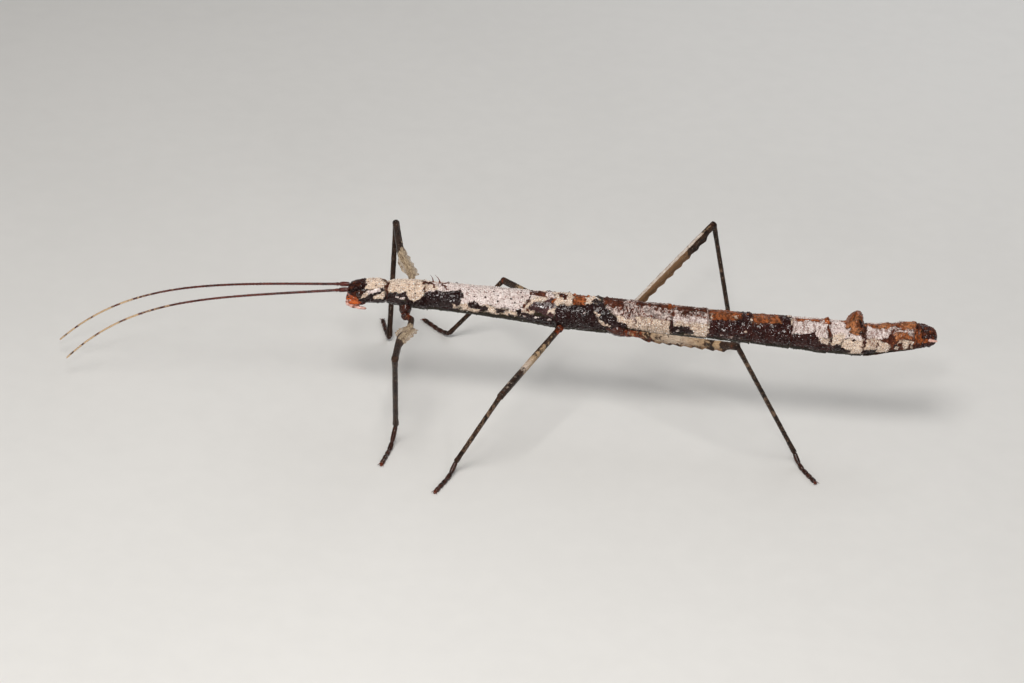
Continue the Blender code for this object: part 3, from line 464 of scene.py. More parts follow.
# Markings, painted in this order: kind, from x, to x, lower angle at both, upper angle at both.
# 0 is the middle of the flank and 90 the middle of the back.
markings = (
    # head
    ("black", -45.3, -39.2, -70, -70, 95, 95), ("maroon", -45.3, -42.3, 34, 48, 95, 95),
    ("rust", -44.9, -44.1, 44, 48, 66, 68), ("rust", -43.7, -42.9, 60, 56, 78, 76),
    ("rust", -44.4, -43.5, 84, 86, 99, 99), ("rust", -44.2, -42.4, -20, 0, 24, 34),
    ("ember", -45.3, -43.0, -75, -60, 12, -14), ("cream", -42.3, -38.9, 40, 42, 95, 95),
    # The lilac strip on the cheek is a pale stripe with a painted highlight on it.
    ("cream", -43.0, -41.8, -10, 4, 6, 32), ("lilac", -41.9, -39.8, 13, 27, 33, 49),
    ("cream", -40.7, -39.2, -20, -14, 6, 30), ("black", -39.3, -38.6, -70, -70, 18, 18),
    ("rust", -39.05, -38.72, 14, 14, 95, 95),
    # fore ring
    ("cream", -38.8, -36.0, 33, 33, 95, 95), ("cream", -36.3, -34.6, 34, -9, 95, 95),
    ("cream", -34.6, -33.0, -9, 30, 95, 95), ("black", -38.7, -35.9, -40, -40, 31, 32),
    # The two small lilac patches low on the fore ring are painted glints.
    ("black", -35.9, -34.7, -40, -40, 26, -12), ("lilac", -37.5, -36.7, 9, 10, 17, 19),
    ("lilac", -36.7, -36.0, 4, 3, 12, 10), ("black", -34.6, -32.6, -34, -34, -10, 38),
    ("rust", -33.1, -32.75, 40, 42, 62, 72), ("rust", -33.45, -32.65, 84, 82, 99, 98),
    # middle ring
    ("lilac", -32.7, -17.2, 14, 14, 95, 95), ("cream", -32.8, -31.2, 46, 54, 78, 70),
    ("cream", -27.6, -18.3, -3, -3, 13, 10), ("black", -32.8, -30.6, -30, -30, 36, 55),
    ("black", -30.7, -28.1, -30, -26, 54, 60), ("black", -28.2, -27.35, 24, 34, 57, 50),
    ("black", -28.2, -27.8, -4, 4, 30, 30), ("rust", -32.5, -31.95, 86, 66, 99, 78),
    ("rust", -30.8, -30.1, 84, 66, 99, 77), ("cream", -28.75, -28.1, -15, -15, 8, 6),
    ("cream", -27.6, -24.6, -16, -16, 12, 2), ("cream", -23.7, -22.0, -14, -14, 8, 10),
    ("cream", -21.2, -19.4, -14, -11, 8, 10), ("black", -26.15, -24.5, 8, -3, 22, 9),
    ("black", -24.9, -23.4, -16, -6, 9, 4), ("black", -22.25, -21.1, 0, -2, 12, 11),
    ("black", -20.3, -19.6, -18, -18, -3, -4), ("black", -19.15, -18.45, 8, 9, 21, 19),
    ("black", -18.95, -18.6, -14, -14, 10, 10), ("lilac", -17.4, -13.6, 58, 62, 95, 95),
    ("cream", -18.0, -14.8, 20, 60, 47, 78), ("cream", -18.0, -16.5, 8, 12, 40, 36),
    ("rust", -18.2, -17.3, 26, 52, 34, 63), ("rust", -17.5, -16.9, 52, 76, 62, 96),
    ("rust", -16.6, -14.9, 74, 72, 99, 99), ("plum", -17.1, -13.6, 26, 4, 41, 72),
    ("rust", -17.65, -17.15, 16, 18, 27, 27), ("cream", -14.5, -13.2, 14, 20, 27, 43),
    ("black", -18.4, -13.0, -30, -30, 6, 4), ("lilac", -18.0, -17.3, -14, -12, -4, -4),
    ("lilac", -16.1, -15.4, -9, -7, 2, 2), ("lilac", -14.4, -13.7, -9, -8, -2, -2),
    ("orange", -13.95, -13.5, 48, 50, 70, 74), ("cream", -13.5, -10.5, 48, 58, 95, 95),
    ("rust", -12.7, -11.8, 80, 74, 99, 97), ("black", -12.55, -12.2, 87, 85, 96, 95),
    # hind ring
    ("orange", -10.6, -8.6, 56, 58, 99, 99), ("cream", -8.7, -7.0, 60, 64, 95, 95),
    ("black", -13.3, -8.5, -30, -30, 50, 57), ("black", -8.5, -7.2, -30, -28, 58, 78),
    ("black", -7.2, -6.3, -28, -24, 80, 84), ("veined", -6.1, -3.0, 60, 30, 95, 95),
    ("veined", -3.0, -0.8, 28, 22, 95, 95), ("rust", -5.9, -4.5, 66, 76, 99, 99),
    ("rust", -4.6, -3.1, 60, 70, 84, 88), ("rust", -4.2, -3.3, 88, 88, 99, 99),
    ("black", -6.4, -5.4, -24, -18, 84, 50), ("black", -5.4, -2.4, -18, -6, 48, 12),
    ("cream", -6.9, -4.7, 12, -7, 25, 3), ("cream", -7.1, -6.6, 25, 25, 35, 33),
    ("cream", -3.6, -0.9, 18, -4, 36, 26), ("lilac", -9.3, -8.9, 26, 28, 32, 34),
    # rings 2 to 5
    ("veined", -0.8, 4.5, 36, 30, 95, 95), ("rust", -0.7, 2.0, 74, 82, 99, 99),
    ("rust", 1.6, 4.3, 84, 76, 99, 99), ("maroon", -0.9, 10.4, -22, -22, 30, 30),
    ("cream", -0.9, 1.0, -4, -22, 35, 35), ("cream", 1.0, 4.45, -26, -27, 35, 33),
    ("orange", 3.8, 4.55, 68, 74, 99, 99), ("black", 4.15, 4.8, -22, -22, 36, 33),
    ("veined", 4.6, 10.2, 48, 46, 95, 95), ("rust", 5.0, 7.9, 76, 72, 99, 99),
    ("rust", 6.2, 7.2, 56, 62, 70, 72), ("rust", 8.6, 9.9, 80, 78, 99, 99),
    ("lilac", 4.7, 10.2, 20, 20, 52, 48), ("cream", 4.8, 7.5, 11, 12, 29, 29),
    ("cream", 7.3, 10.3, -26, -26, 29, 31), ("black", 4.7, 6.4, -30, -22, 9, 13),
    ("black", 6.0, 7.7, -22, -18, 6, 1), ("veined", 5.1, 5.7, -15, -13, -3, -1),
    ("veined", 6.5, 7.1, -12, -11, -2, -4), ("maroon", 10.2, 22.75, -24, -24, 95, 95),
    ("orange", 10.3, 15.1, 45, 62, 99, 99), ("orange", 15.1, 16.5, 84, 86, 99, 99),
    ("cream", 10.15, 10.65, 54, 54, 72, 74), ("cream", 13.8, 14.25, 66, 66, 76, 76),
    ("veined", 12.0, 12.7, -15, -15, -4, -4), ("veined", 13.2, 14.0, -15, -15, -5, -4),
    ("veined", 14.6, 15.6, -15, -15, -5, -5), ("cream", 15.7, 16.1, 19, 19, 28, 28),
    ("orange", 16.9, 20.9, 50, 62, 99, 99), ("cream", 16.45, 16.95, 57, 57, 70, 71),
    ("cream", 22.4, 22.9, 55, 56, 84, 85),
    # rings 6 and 7
    ("lilac", 22.9, 25.4, 22, 38, 95, 95), ("lilac", 25.3, 28.2, 40, 10, 95, 95),
    ("orange", 23.2, 27.3, 82, 85, 99, 99), ("maroon", 22.7, 26.5, -24, -24, 18, 42),
    ("maroon", 26.3, 28.4, -24, -24, 30, 0), ("cream", 27.1, 28.35, 12, 2, 26, 22),
    ("rust", 28.15, 28.5, 24, 24, 88, 88), ("orange", 27.4, 28.45, 72, 72, 99, 99),
    ("maroon", 28.5, 34.0, -26, -26, 40, 40), ("lilac", 28.6, 33.8, 28, 28, 95, 95),
    ("cream", 28.7, 30.5, 4, 9, 37, 37), ("black", 29.6, 31.2, -26, -28, 2, 8),
    ("cream", 30.6, 33.85, -6, -28, 26, 31), ("cream", 31.6, 33.85, -30, -30, 20, 20),
    ("rust", 31.5, 33.75, 32, 34, 54, 58), ("lilac", 31.6, 33.2, 26, 28, 44, 44),
    ("rust", 31.5, 33.8, 50, 50, 70, 72), ("rust", 30.95, 33.65, 60, 40, 99, 99),
    ("orange", 30.9, 33.35, 63, 58, 99, 99), ("orange", 31.6, 33.4, 44, 46, 68, 66),
    ("maroon", 32.6, 33.6, 44, 44, 53, 55), ("maroon", 32.5, 33.1, 68, 66, 76, 74),
    ("rust", 31.7, 32.1, 74, 72, 84, 82), ("rust", 33.78, 34.0, -24, -24, 95, 95),
    # rings 8 to 10
    ("rust", 34.0, 42.6, -24, -30, 99, 99), ("lilac", 34.0, 37.8, 33, 38, 95, 95),
    ("orange", 34.0, 38.0, 80, 74, 99, 99), ("cream", 33.95, 35.9, -9, -10, 29, 38),
    ("cream", 35.8, 37.9, -28, -38, 38, 8), ("black", 34.0, 35.7, -34, -34, -11, -9),
    # The lilac and veined band on the flank of ring 9 is pale mottling and partly a painted highlight.
    ("orange", 37.8, 41.6, 62, 58, 99, 99), ("lilac", 37.5, 39.4, 46, 46, 72, 70),
    ("veined", 38.0, 41.4, 44, 36, 64, 62), ("lilac", 38.6, 40.3, 48, 46, 60, 57),
    ("cream", 38.8, 41.2, -24, -26, 24, 14), ("rust", 39.2, 39.6, -30, -30, 12, 6),
    ("orange", 38.3, 40.8, 20, 25, 46, 44), ("rust", 40.5, 40.9, -30, -30, 4, 0),
    ("black", 38.5, 39.0, -5, -5, 4, 4), ("rust", 37.75, 38.05, 0, 0, 40, 40),
    ("orange", 41.3, 42.5, 5, 0, 70, 62), ("rust", 41.5, 42.6, 60, 62, 99, 99),
    ("maroon", 42.4, 45.4, -60, -60, 99, 99), ("orange", 43.5, 44.2, 52, 52, 74, 74),
    ("rust", 43.9, 44.6, 20, 20, 44, 44), ("orange", 42.5, 43.2, 4, 4, 24, 20),
    ("rust", 42.6, 43.5, 70, 70, 88, 88), ("rust", 43.3, 44.3, -8, -4, 14, 16),
    ("rust", 44.0, 45.0, 48, 50, 99, 99), ("rust", 42.5, 43.4, 34, 36, 58, 56),
)
kinds = ("cream", "lilac", "veined", "rust", "orange", "ember", "plum", "maroon", "black")
# Smooth wet-looking places: place, angle, reach along, reach up in degrees.
wetSpots = ((-40.8, 31, 0.95, 9), (-44.3, 40, 0.7, 22), (-36.8, 10, 1.3, 24), (-30.0, 20, 2.4, 36),
            (-9.8, 36, 1.8, 24), (-6.4, 44, 0.9, 16), (38.4, 60, 0.8, 10),
            (36.4, 58, 1.2, 10), (43.7, 26, 0.6, 12), (32.5, 72, 1.1, 30), (29.6, 52, 0.9, 12),
            (35.2, 50, 0.8, 9), (24.2, 44, 0.6, 9), (40.2, 52, 0.9, 14), (-22.0, 70, 0.5, 5))


def crestHeight(x, angle, shape):
    # Height of a crest across the back: leaning forward to its crown, steep behind it.
    ahead = np.clip((shape["crown"] - x) / (shape["crown"] - shape["front"]), 0, 1)
    behind = np.clip((x - shape["crown"]) / (shape["foot"] - shape["crown"]), 0, 1)
    off = np.clip(np.abs(angle - 90.0) / (1.1 * shape["halfAngle"]), 0, 1)
    return shape["height"] * (1 - ahead ** 2) * (1 - behind ** 4) * (1 - off ** 2.6)


def plateTop(x):
    # Level of the upper side of the plate under the tail.
    line = readLine(trunkLine, x)
    drop = 0.25 * ramp(x, 41.0, platePlace["tip"])
    return line[..., 0] - line[..., 2] + platePlace["depth"] - drop


def skinLine(x):
    return np.where((x < neck)[..., None], readLine(headLine, x), readLine(trunkLine, x))


farOutside = -3.0   # mm, a marking's field where there is none of it
# Noise that tears the markings' edges: how far (mm or degrees), size in mm, seed.
tearAlong = ((0.34, 1.1, 3), (0.24, 0.45, 4), (0.14, 0.24, 18))
tearAround = ((7.0, 1.3, 5), (4.5, 0.5, 6), (2.5, 0.26, 16))


def roughened(value, points, layers):
    for reach, size, seed in layers:
        value = value + reach * lumps(points, size, seed)
    return value


def paintMarkings(x, folded, right, base):
    # Distance fields in mm, one for each kind: above 0 inside a marking, below 0 outside it.
    perDegree = 0.0436   # mm of skin
    x = roughened(x, base, tearAlong)
    x = x + right * 0.5 * np.sin(x * 0.9)   # a wave, so that the right side isn't a plain mirror image
    angle = roughened(folded, base, tearAround)
    fields = {kind: np.full(x.shape, farOutside) for kind in kinds}
    for kind, start, end, low0, low1, high0, high1 in markings:
        t = np.clip((x - start) / (end - start), 0, 1)
        inside = np.minimum(np.minimum(x - start, end - x),
                            perDegree * np.minimum(angle - low0 - (low1 - low0) * t,
                                                   high0 + (high1 - high0) * t - angle))
        for other in kinds:
            if other == kind:
                fields[other] = np.maximum(fields[other], inside)
            else:
                fields[other] = np.minimum(fields[other], -inside)
    return fields


faceTip = -45.0
# How many more rings of points stand at these places, as a share of the usual number, and within how many mm.
crowded = [(edge, 0.8, 0.35) for edge in ringEdges] + [(faceTip, 1.5, 0.5), (tailTip, 0.8, 0.5)]


def ringPlaces():
    # Where the skin's rings of points stand: closer at the edges of the body's rings and at both ends.
    fineStep = 0.01
    fine = np.arange(faceTip + 0.03, tailTip - 0.02, fineStep)
    step = np.where(fine < neck, bodySizes["headStep"], bodySizes["trunkStep"])
    need = 1 / step
    for spot, more, reach in crowded:
        need = need + more / step * bump(fine - spot, reach)
    count = np.cumsum(need) * fineStep
    return np.interp(np.linspace(count[0], count[-1], int(count[-1]) + 1), count, fine)


def socketDistance(base, name):
    x, y, z = headSockets[name][0]
    return np.sqrt((base[..., 0] - x) ** 2 + (np.abs(base[..., 1]) - y) ** 2 + (base[..., 2] - z) ** 2)


def shapeHead(grow, x, angle, folded, base):
    head = (1 - ramp(x, neck - 0.9, neck - 0.4))
    for name, (_, rings) in headSockets.items():
        away = socketDistance(base, name)
        for distance, width, height in rings:
            grow += height * bump(away - distance, width)
    grow -= head * crownLine["depth"] * bump(angle - 90, crownLine["width"]) * (x > crownLine["from"])
    for turn, tilt, about, width, depth, start, end in headSeams:
        grow -= head * depth * bump(folded - turn - tilt * (x - about), width) * (x > start) * (x < end)
    for spot, turn, tilt, stretch, reach, height in headLumps:
        away = np.hypot((x - spot) * stretch, (folded - turn - tilt * (x - spot)) * 0.035)
        grow += head * height * bump(away, reach)
    ledge = bump(folded - brow["angle"], brow["wide"])
    grow += head * brow["height"] * ledge * bump(x - brow["place"], brow["long"])


def shapeRings(grow, x, folded, wander):
    # A groove at each ring's front edge and a raised rim ahead of it.
    for edge in ringEdges:
        depth = bodySizes["grooveDepth"] * (bodySizes["neckDeeper"] if edge == neck else 1.0)
        grow -= depth * bump(x - edge + wander, bodySizes["grooveWidth"])
        rim = bump(x - edge + bodySizes["rimBehind"] + wander, bodySizes["rimWidth"])
        grow += bodySizes["rimSwell"] * rim * (folded > -30)


def shapeSurface(grow, x, angle, folded, base, pale, dark):
    # Broad lumps, torn roughness on the dark parts, the back's keel and the flank's edge.
    size = bodySizes
    grow += size["lumpHeight"] * lumps(base, size["lumpSize"], 8)
    rough = lumps(base, size["roughSize"], 9) + 0.5 * lumps(base, 0.24, 10)
    torn = steps(x, 1 + 0.8 * bump(x + 10.5, 6.5) * dark, rougher)   # roughest on the hind ring
    calmFace = 0.5 + 0.5 * ramp(x, -44.5, -42.3)
    grow += size["roughHeight"] * rough * torn * (0.25 + 0.75 * dark) * calmFace
    alongKeel = (x > size["keelFrom"]) & (x < size["keelTo"])
    grow += size["keel"] * bump(angle - 90, size["keelWidth"]) * alongKeel
    grow += size["paleLumps"] * pale * lumps(base, 0.5, 11)
    edge = roughened(size["flankAngle"], base * (1, 0, 0), ((5, 0.8, 12), (4, 0.35, 13)))
    under = 1 - ramp(folded, edge - size["flankSoft"], edge + size["flankSoft"])
    grow -= size["flankStep"] * under * ((x > size["flankFrom"]) & (x < size["keelTo"]))


def shapePits(grow, x, folded, base, perDegree):
    pitField = np.full(x.shape, farOutside)
    for spot, turn, radius in pits:
        away = np.hypot(x - spot, (folded - turn) * perDegree) + 0.05 * lumps(base, 0.3, 14)
        pitField = np.maximum(pitField, bodySizes["pitEdge"] * radius - away)
        grow -= bodySizes["pitDepth"] * bump(away, radius * 1.1)
    return pitField


def shapeKnobs(grow, x, folded, right, perDegree):
    for number, (spot, turn, radius, height) in enumerate(knobs):
        for mirrored in (0, 1):
            # The right side's knobs sit a little off the left side's.
            shifted = spot + 0.3 * mirrored * math.sin(5 * number)
            near = (right > 0.5) == bool(mirrored)
            away = np.hypot(x - shifted, (folded - turn) * perDegree)
            grow += np.where(near, height * bump(away, radius * 0.62), 0)


def shapeCrest(grow, x, angle, folded, base):
    grow += crestHeight(x, angle, spur)
    tall = crestHeight(x, angle, crest)
    grow += tall
    share = np.clip(tall / crest["height"], 0, 1)
    grow += share * (crest["lobe"] * lumps(base + 31, 0.75, 15) - 0.10)
    for spot, turn, reach in crest["hollows"]:
        grow -= crest["hollow"] * share * bump(np.hypot(x - spot, (folded - turn) * 0.06), reach)


skinRadius = 2.5                            # mm, of a usual ring: turns degrees into mm of skin
unwrapFrom, unwrapLength = -46, 92          # mm, the stretch of the body that its UV map covers
# Share of skin with grains: bare skin, pale skin, the face, and what is taken off in wet places and below.
grainShares = {"usual": 0.40, "pale": 0.60, "face": 0.85, "wet": 0.85, "below": 0.6}
grainLimits = {"faceTo": -42.2, "faceAbove": 12, "feelerRoot": 0.6, "eye": 0.75, "roundEnd": 0.75,
               "pit": -0.08}                # where the face's grains end, and how near the sockets and pits


def roundEnd(past, radius):
    # Share of the full radius over a rounded end, by how far past its start a place is.
    return np.sqrt(np.clip(1 - (np.clip(past, 0, 1) / radius) ** 2, 0.0, 1))


def buildSkin(material):
    xs = ringPlaces()
    angles = np.arange(bodySizes["sides"]) * 360.0 / bodySizes["sides"]
    x, angle = np.meshgrid(xs, angles, indexing="ij")
    # Folded runs from -90 below to 90 above on both sides. Right is 1 on the right side.
    folded = np.degrees(np.arcsin(np.clip(np.sin(np.radians(angle)), -1, 1)))
    right = ramp(angle, 88, 100) * (1 - ramp(angle, 262, 275))
    perDegree = np.radians(skinRadius)
    line = skinLine(x)
    middle, wide, high = line[..., 0], line[..., 1], line[..., 2]
    cosine, sine = np.cos(np.radians(angle)), np.sin(np.radians(angle))
    base = np.stack((x, -wide * cosine, middle + high * sine), -1)
    marks = paintMarkings(x, folded, right, base)
    pale = ramp(np.maximum(marks["cream"], marks["lilac"]), -0.05, 0.1)
    dark = ramp(np.maximum(marks["black"], marks["maroon"]), -0.1, 0.1)
    wander = 0.20 * lumps(base * (0, 1, 1), 1.3, 7) + 0.06 * lumps(base, 0.4, 17)

    swell = np.ones_like(x)
    ends = ringEdges + (tailTip,)
    for start, end in zip(ends, ends[1:]):
        flare = bodySizes["ringFlare"] * ((x - start) / (end - start) - 0.5)
        swell += np.where((x >= start) & (x < end), flare, 0)
    grow = np.full_like(x, -bodySizes["inset"])   # mm added to the radius; the functions below change it
    shapeRings(grow, x, folded, wander)
    shapeSurface(grow, x, angle, folded, base, pale, dark)
    pitField = shapePits(grow, x, folded, base, perDegree)
    shapeKnobs(grow, x, folded, right, perDegree)
    shapeCrest(grow, x, angle, folded, base)
    shapeHead(grow, x, angle, folded, base)

    radius = roundEnd(faceEnd["from"] - x, faceEnd["radius"])
    radius = radius * roundEnd(x - tailEnd["from"], tailEnd["radius"])
    y = -(wide * swell + grow) * cosine * radius
    z = middle + (high * swell + grow) * sine * radius
    # Over the tail plate the skin stays above it.
    z = np.where(x > platePlace["front"] - 0.06, np.maximum(z, plateTop(x) + bodySizes["underPlate"]), z)

    wet = np.zeros_like(x)
    for spot, turn, reach, up in wetSpots:
        wet = np.maximum(wet, 1 - np.hypot((x - spot) / reach, (folded - turn) / up))
    creases = np.zeros_like(x)
    for edge in ringEdges:
        line = bump(x - edge + wander, bodySizes["creaseWidth"])
        creases = np.maximum(creases, seams.get(edge, usualSeam) * line)
    worn = steps(x, 0.0, wornPlaces) - 0.3 * ramp(-folded, -20, 10)

    # Where grains stand: most on the pale parts and the face, none in creases, wet places, pits and eyes.
    share, limit = grainShares, grainLimits
    full = radius > limit["roundEnd"]
    grain = (share["usual"] + share["pale"] * pale) * (1 - creases)
    grain = grain * (1 - share["wet"] * ramp(wet, 0.0, 0.3)) * full
    face = (x < limit["faceTo"]) * (folded > limit["faceAbove"])
    face = face * (socketDistance(base, "feeler") > limit["feelerRoot"])
    grain = np.maximum(grain, share["face"] * face * full)
    grain *= (socketDistance(base, "eye") > limit["eye"]) * (1 - share["below"] * ramp(-folded, 25, 45))
    grain *= pitField < limit["pit"]
    values = {kind + "Mark": mark for kind, mark in marks.items()}
    values.update({"wet": wet, "pitMark": pitField, "crease": creases, "grain": grain, "worn": worn,
                   "rootU": (x - unwrapFrom) / unwrapLength, "rootV": angle / 360,
                   "frosted": steps(x, 0.35, frostedPlaces)})
    fields = {name: poleField(value) for name, value in values.items()}
    return buildMesh("bodySkin", withPoles(np.stack((x, y, z), -1)), shellFaces(len(xs), len(angles)), fields,
                     material)


# A pair is a marking's dull and bright tone.
skinColours = {
    "under": (rgb(0.034, 0.028, 0.014), rgb(0.010, 0.007, 0.004)),
    "cream": (rgb(0.77, 0.57, 0.42), rgb(0.95, 0.79, 0.65)),
    "lilac": (rgb(0.72, 0.58, 0.55), rgb(0.99, 0.89, 0.86)),
    "rust": (rgb(0.024, 0.006, 0.004), rgb(0.19, 0.052, 0.024)),
    "veined": (rgb(0.070, 0.018, 0.010), rgb(0.22, 0.075, 0.045)),
    "vein": rgb(0.80, 0.68, 0.63),
    "orange": (rgb(0.060, 0.011, 0.003), rgb(0.50, 0.118, 0.024)),
    "ember": (rgb(0.22, 0.026, 0.006), rgb(0.75, 0.16, 0.022)),
    "plum": (rgb(0.018, 0.007, 0.008), rgb(0.105, 0.048, 0.046)),
    "maroon": (rgb(0.008, 0.002, 0.002), rgb(0.052, 0.011, 0.008)),
    "black": (rgb(0.004, 0.0012, 0.0012), rgb(0.026, 0.0068, 0.0062)),
    "speck": rgb(0.17, 0.060, 0.035),
    "pit": rgb(0.035, 0.010, 0.007),
    # fleck: the pale flecks on the dark skin, painted glints
    "fleck": rgb(0.62, 0.57, 0.60),
    "tawny": rgb(0.56, 0.22, 0.085),
    # frost: pale grain tops on the orange, partly a painted highlight
    "frostAndGlint": rgb(0.70, 0.50, 0.34),
    "grime": rgb(0.020, 0.006, 0.004),
    "crease": rgb(0.085, 0.022, 0.014),
    "raised": (rgb(0.80, 0.74, 0.66), rgb(0.90, 0.87, 0.84)),
}
# Order in which the markings are laid on, how far their edges are torn (mm) and how soft they are (mm).
paintEdges = (("lilac", 0.42, 0.12), ("cream", 0.45, 0.30), ("veined", 0.45, 0.10), ("rust", 0.48, 0.09),
              ("orange", 0.55, 0.12), ("ember", 0.34, 0.16), ("plum", 0.36, 0.05), ("maroon", 0.42, 0.05),
              ("black", 0.42, 0.05))


def skinMaterial(name, raised):
    # raised: the grains standing on the skin, a little paler than what they stand on; a random few carry a
    # painted glint, faint on the dark and warm parts.
    material, tree, shader = newMaterial(name, {"Coat Roughness": 0.13, "Coat IOR": 1.38, "IOR": 1.5,
                                                "Specular IOR Level": 0.07})
    tones = useGroup(tree, mottle, {"Broad": 620.0, "Fine": 3100.0})
    grains = useGroup(tree, granules, {"Scale": 3300.0})
    small = useGroup(tree, granules, {"Scale": 5600.0, "Jitter": 1.0})
    grainy = scaled(tree, tones["Tone"], 0.62, times(tree, grains["Tone"], 0.38))

    masks = {}
    shade = mixColour(tree, tones["Tone"], *skinColours["under"])
    for kind, reach, soft in paintEdges:
        masks[kind] = useGroup(tree, raggedEdge, {"Field": field(tree, kind + "Mark"), "Reach": reach,
                                                  "Soft": soft})["Mask"]
        shade = mixColour(tree, masks[kind], shade, mixColour(tree, grainy, *skinColours[kind]))
        if kind == "veined":
            # Pale crazing over the veined places.
            stretched = put(tree, "ShaderNodeMapping", {"Vector": place(tree), "Scale": (1.0, 0.55, 0.55)})
            veins = noise(tree, stretched.outputs[0], 1900.0, 4.0, 0.62, 0.9)
            veins = maths(tree, "ABSOLUTE", maths(tree, "SUBTRACT", veins, 0.53))
            clouds = noise(tree, place(tree), 520.0, 3.0)
            veins = highest(tree, fade(tree, veins, 0.065, 0.02), fade(tree, clouds, 0.52, 0.68))
            shade = mixColour(tree, times(tree, veins, masks["veined"], 0.88), shade, skinColours["vein"])
    darkMask = highest(tree, masks["plum"], masks["maroon"], masks["black"])
    brightMask = highest(tree, masks["lilac"], masks["cream"])
    covered = highest(tree, darkMask, masks["rust"], masks["orange"])
    paleMask = times(tree, brightMask, maths(tree, "SUBTRACT", 1.0, covered))

    # Red-brown specks in the gaps between pale grains, and worn streaks across the rings.
    dots = times(tree, grains["Gap"], fade(tree, grains["Tone"], 0.30, 0.55))
    dust = times(tree, small["Gap"], fade(tree, small["Tone"], 0.45, 0.65))
    dots = highest(tree, dots, times(tree, dust, 0.8))
    across = put(tree, "ShaderNodeMapping", {"Vector": place(tree), "Scale": (1.9, 0.6, 0.6)}).outputs[0]
    streaks = scaled(tree, field(tree, "worn"), 0.16, noise(tree, across, 1150.0, 4.0, 0.66))
    dots = highest(tree, dots, fade(tree, streaks, 0.58, 0.70))
    shade = mixColour(tree, times(tree, dots, paleMask, 0.78), shade, skinColours["speck"])

    # Tawny clouds and pale frost on the orange, and pale flecks on the dark as painted glints.
    frosted = field(tree, "frosted")
    glow = times(tree, frosted, masks["orange"], fade(tree, clouds, 0.40, 0.62), 0.75)
    shade = mixColour(tree, glow, shade, skinColours["tawny"])
    # Pale dots on the orange's grain tops, partly a painted highlight.
    frostAndGlint = times(tree, masks["orange"], fade(tree, small["Tone"], 0.72, 0.86),
                  scaled(tree, frosted, 0.40, 0.25), small["Grain"])
    shade = mixColour(tree, frostAndGlint, shade, skinColours["frostAndGlint"])
    glintFlecks = times(tree, darkMask, fade(tree, small["Tone"], 0.88, 0.93), fade(tree, small["Grain"], 0.30, 0.75))
    shade = mixColour(tree, times(tree, glintFlecks, 0.8), shade, skinColours["fleck"])

    # Fine dark grime, strongest on the rust and orange, then the punctures and the creases.
    warm = highest(tree, masks["rust"], masks["orange"], masks["veined"])
    grime = fade(tree, noise(tree, place(tree), 2300.0, 4.0, 0.7), 0.58, 0.42)
    shade = mixColour(tree, times(tree, grime, scaled(tree, warm, 0.48, 0.20)), shade, skinColours["grime"])
    pit = useGroup(tree, raggedEdge, {"Field": field(tree, "pitMark"), "Reach": 0.05})["Mask"]
    shade = mixColour(tree, pit, shade, skinColours["pit"])
    shade = mixColour(tree, times(tree, field(tree, "crease"), 0.75), shade, skinColours["crease"])
    if raised:
        tone = field(tree, "tone")
        glint = times(tree, fade(tree, tone, 0.72, 0.95),
                      scaled(tree, highest(tree, darkMask, warm), -0.36, 0.42))
        lift = maths(tree, "ADD", times(tree, paleMask, 0.50), glint)
        shade = mixColour(tree, lift, shade, mixColour(tree, tone, *skinColours["raised"]))
    tree.links.new(shade, shader.inputs["Base Color"])

    wet = fade(tree, field(tree, "wet"), 0.0, 0.35)
    matt = scaled(tree, brightMask, 0.12, 0.46)
    for value, change in ((darkMask, -0.18), (wet, -0.16), (tones["Speck"], 0.10)):
        matt = scaled(tree, value, change, matt)
    tree.links.new(highest(tree, matt, 0.12), shader.inputs["Roughness"])
    # Only some of the dark grains are glossy, so the dark stays dark between their glints.
    glossy = highest(tree, fade(tree, small["Tone"], 0.55, 0.70), fade(tree, grains["Tone"], 0.60, 0.75))
    gloss = times(tree, scaled(tree, glossy, 0.95, 0.02), scaled(tree, darkMask, 0.85, 0.15))
    for value in (times(tree, wet, 0.85), times(tree, masks["ember"], 0.8),
                  times(tree, masks["orange"], glossy, 0.8)):
        gloss = highest(tree, gloss, value)
    tree.links.new(gloss, shader.inputs["Coat Weight"])
    if not raised:
        height = times(tree, grains["Grain"], scaled(tree, wet, -0.8, 1.0))
        relief(tree, shader, scaled(tree, small["Grain"], 0.35, height), 0.00011, 0.9)
    return material


skinShell = skinMaterial("insectShell", raised=False)
bodySkin = buildSkin(skinShell)
print("body skin:", len(bodySkin.data.polygons), "faces")


def newGrowth(name, inputs):
    tree = bpy.data.node_groups.new(name, "GeometryNodeTree")
    tree.interface.new_socket("Geometry", in_out="INPUT", socket_type="NodeSocketGeometry")
    for label, kind, value in inputs:
        socket = tree.interface.new_socket(label, in_out="INPUT", socket_type=kind)
        socket.default_value = value
    tree.interface.new_socket("Geometry", in_out="OUTPUT", socket_type="NodeSocketGeometry")
    return tree, tree.nodes.new("NodeGroupInput").outputs, tree.nodes.new("NodeGroupOutput").inputs


def readField(tree, name, kind="FLOAT"):
    return put(tree, "GeometryNodeInputNamedAttribute", {"Name": name}, data_type=kind).outputs[0]


def storeField(tree, geometry, name, value, kind="FLOAT"):
    node = put(tree, "GeometryNodeStoreNamedAttribute", {"Geometry": geometry, "Name": name},
               data_type=kind, domain="POINT")
    tree.links.new(value, node.inputs["Value"])
    return node.outputs[0]


def random(tree, seed, low=0.0, high=1.0):
    node = put(tree, "FunctionNodeRandomValue", {"Seed": seed}, data_type="FLOAT")
    for socket in node.inputs:
        if socket.type == "VALUE" and socket.name in ("Min", "Max"):
            socket.default_value = low if socket.name == "Min" else high
    return node.outputs[1]


def keepPlace(tree, geometry):
    # Each face remembers where it was on its own grain or bristle, for the UV map.
    spot = tree.nodes.new("GeometryNodeInputPosition").outputs[0]
    return storeField(tree, geometry, "petal", spot, "FLOAT_VECTOR")


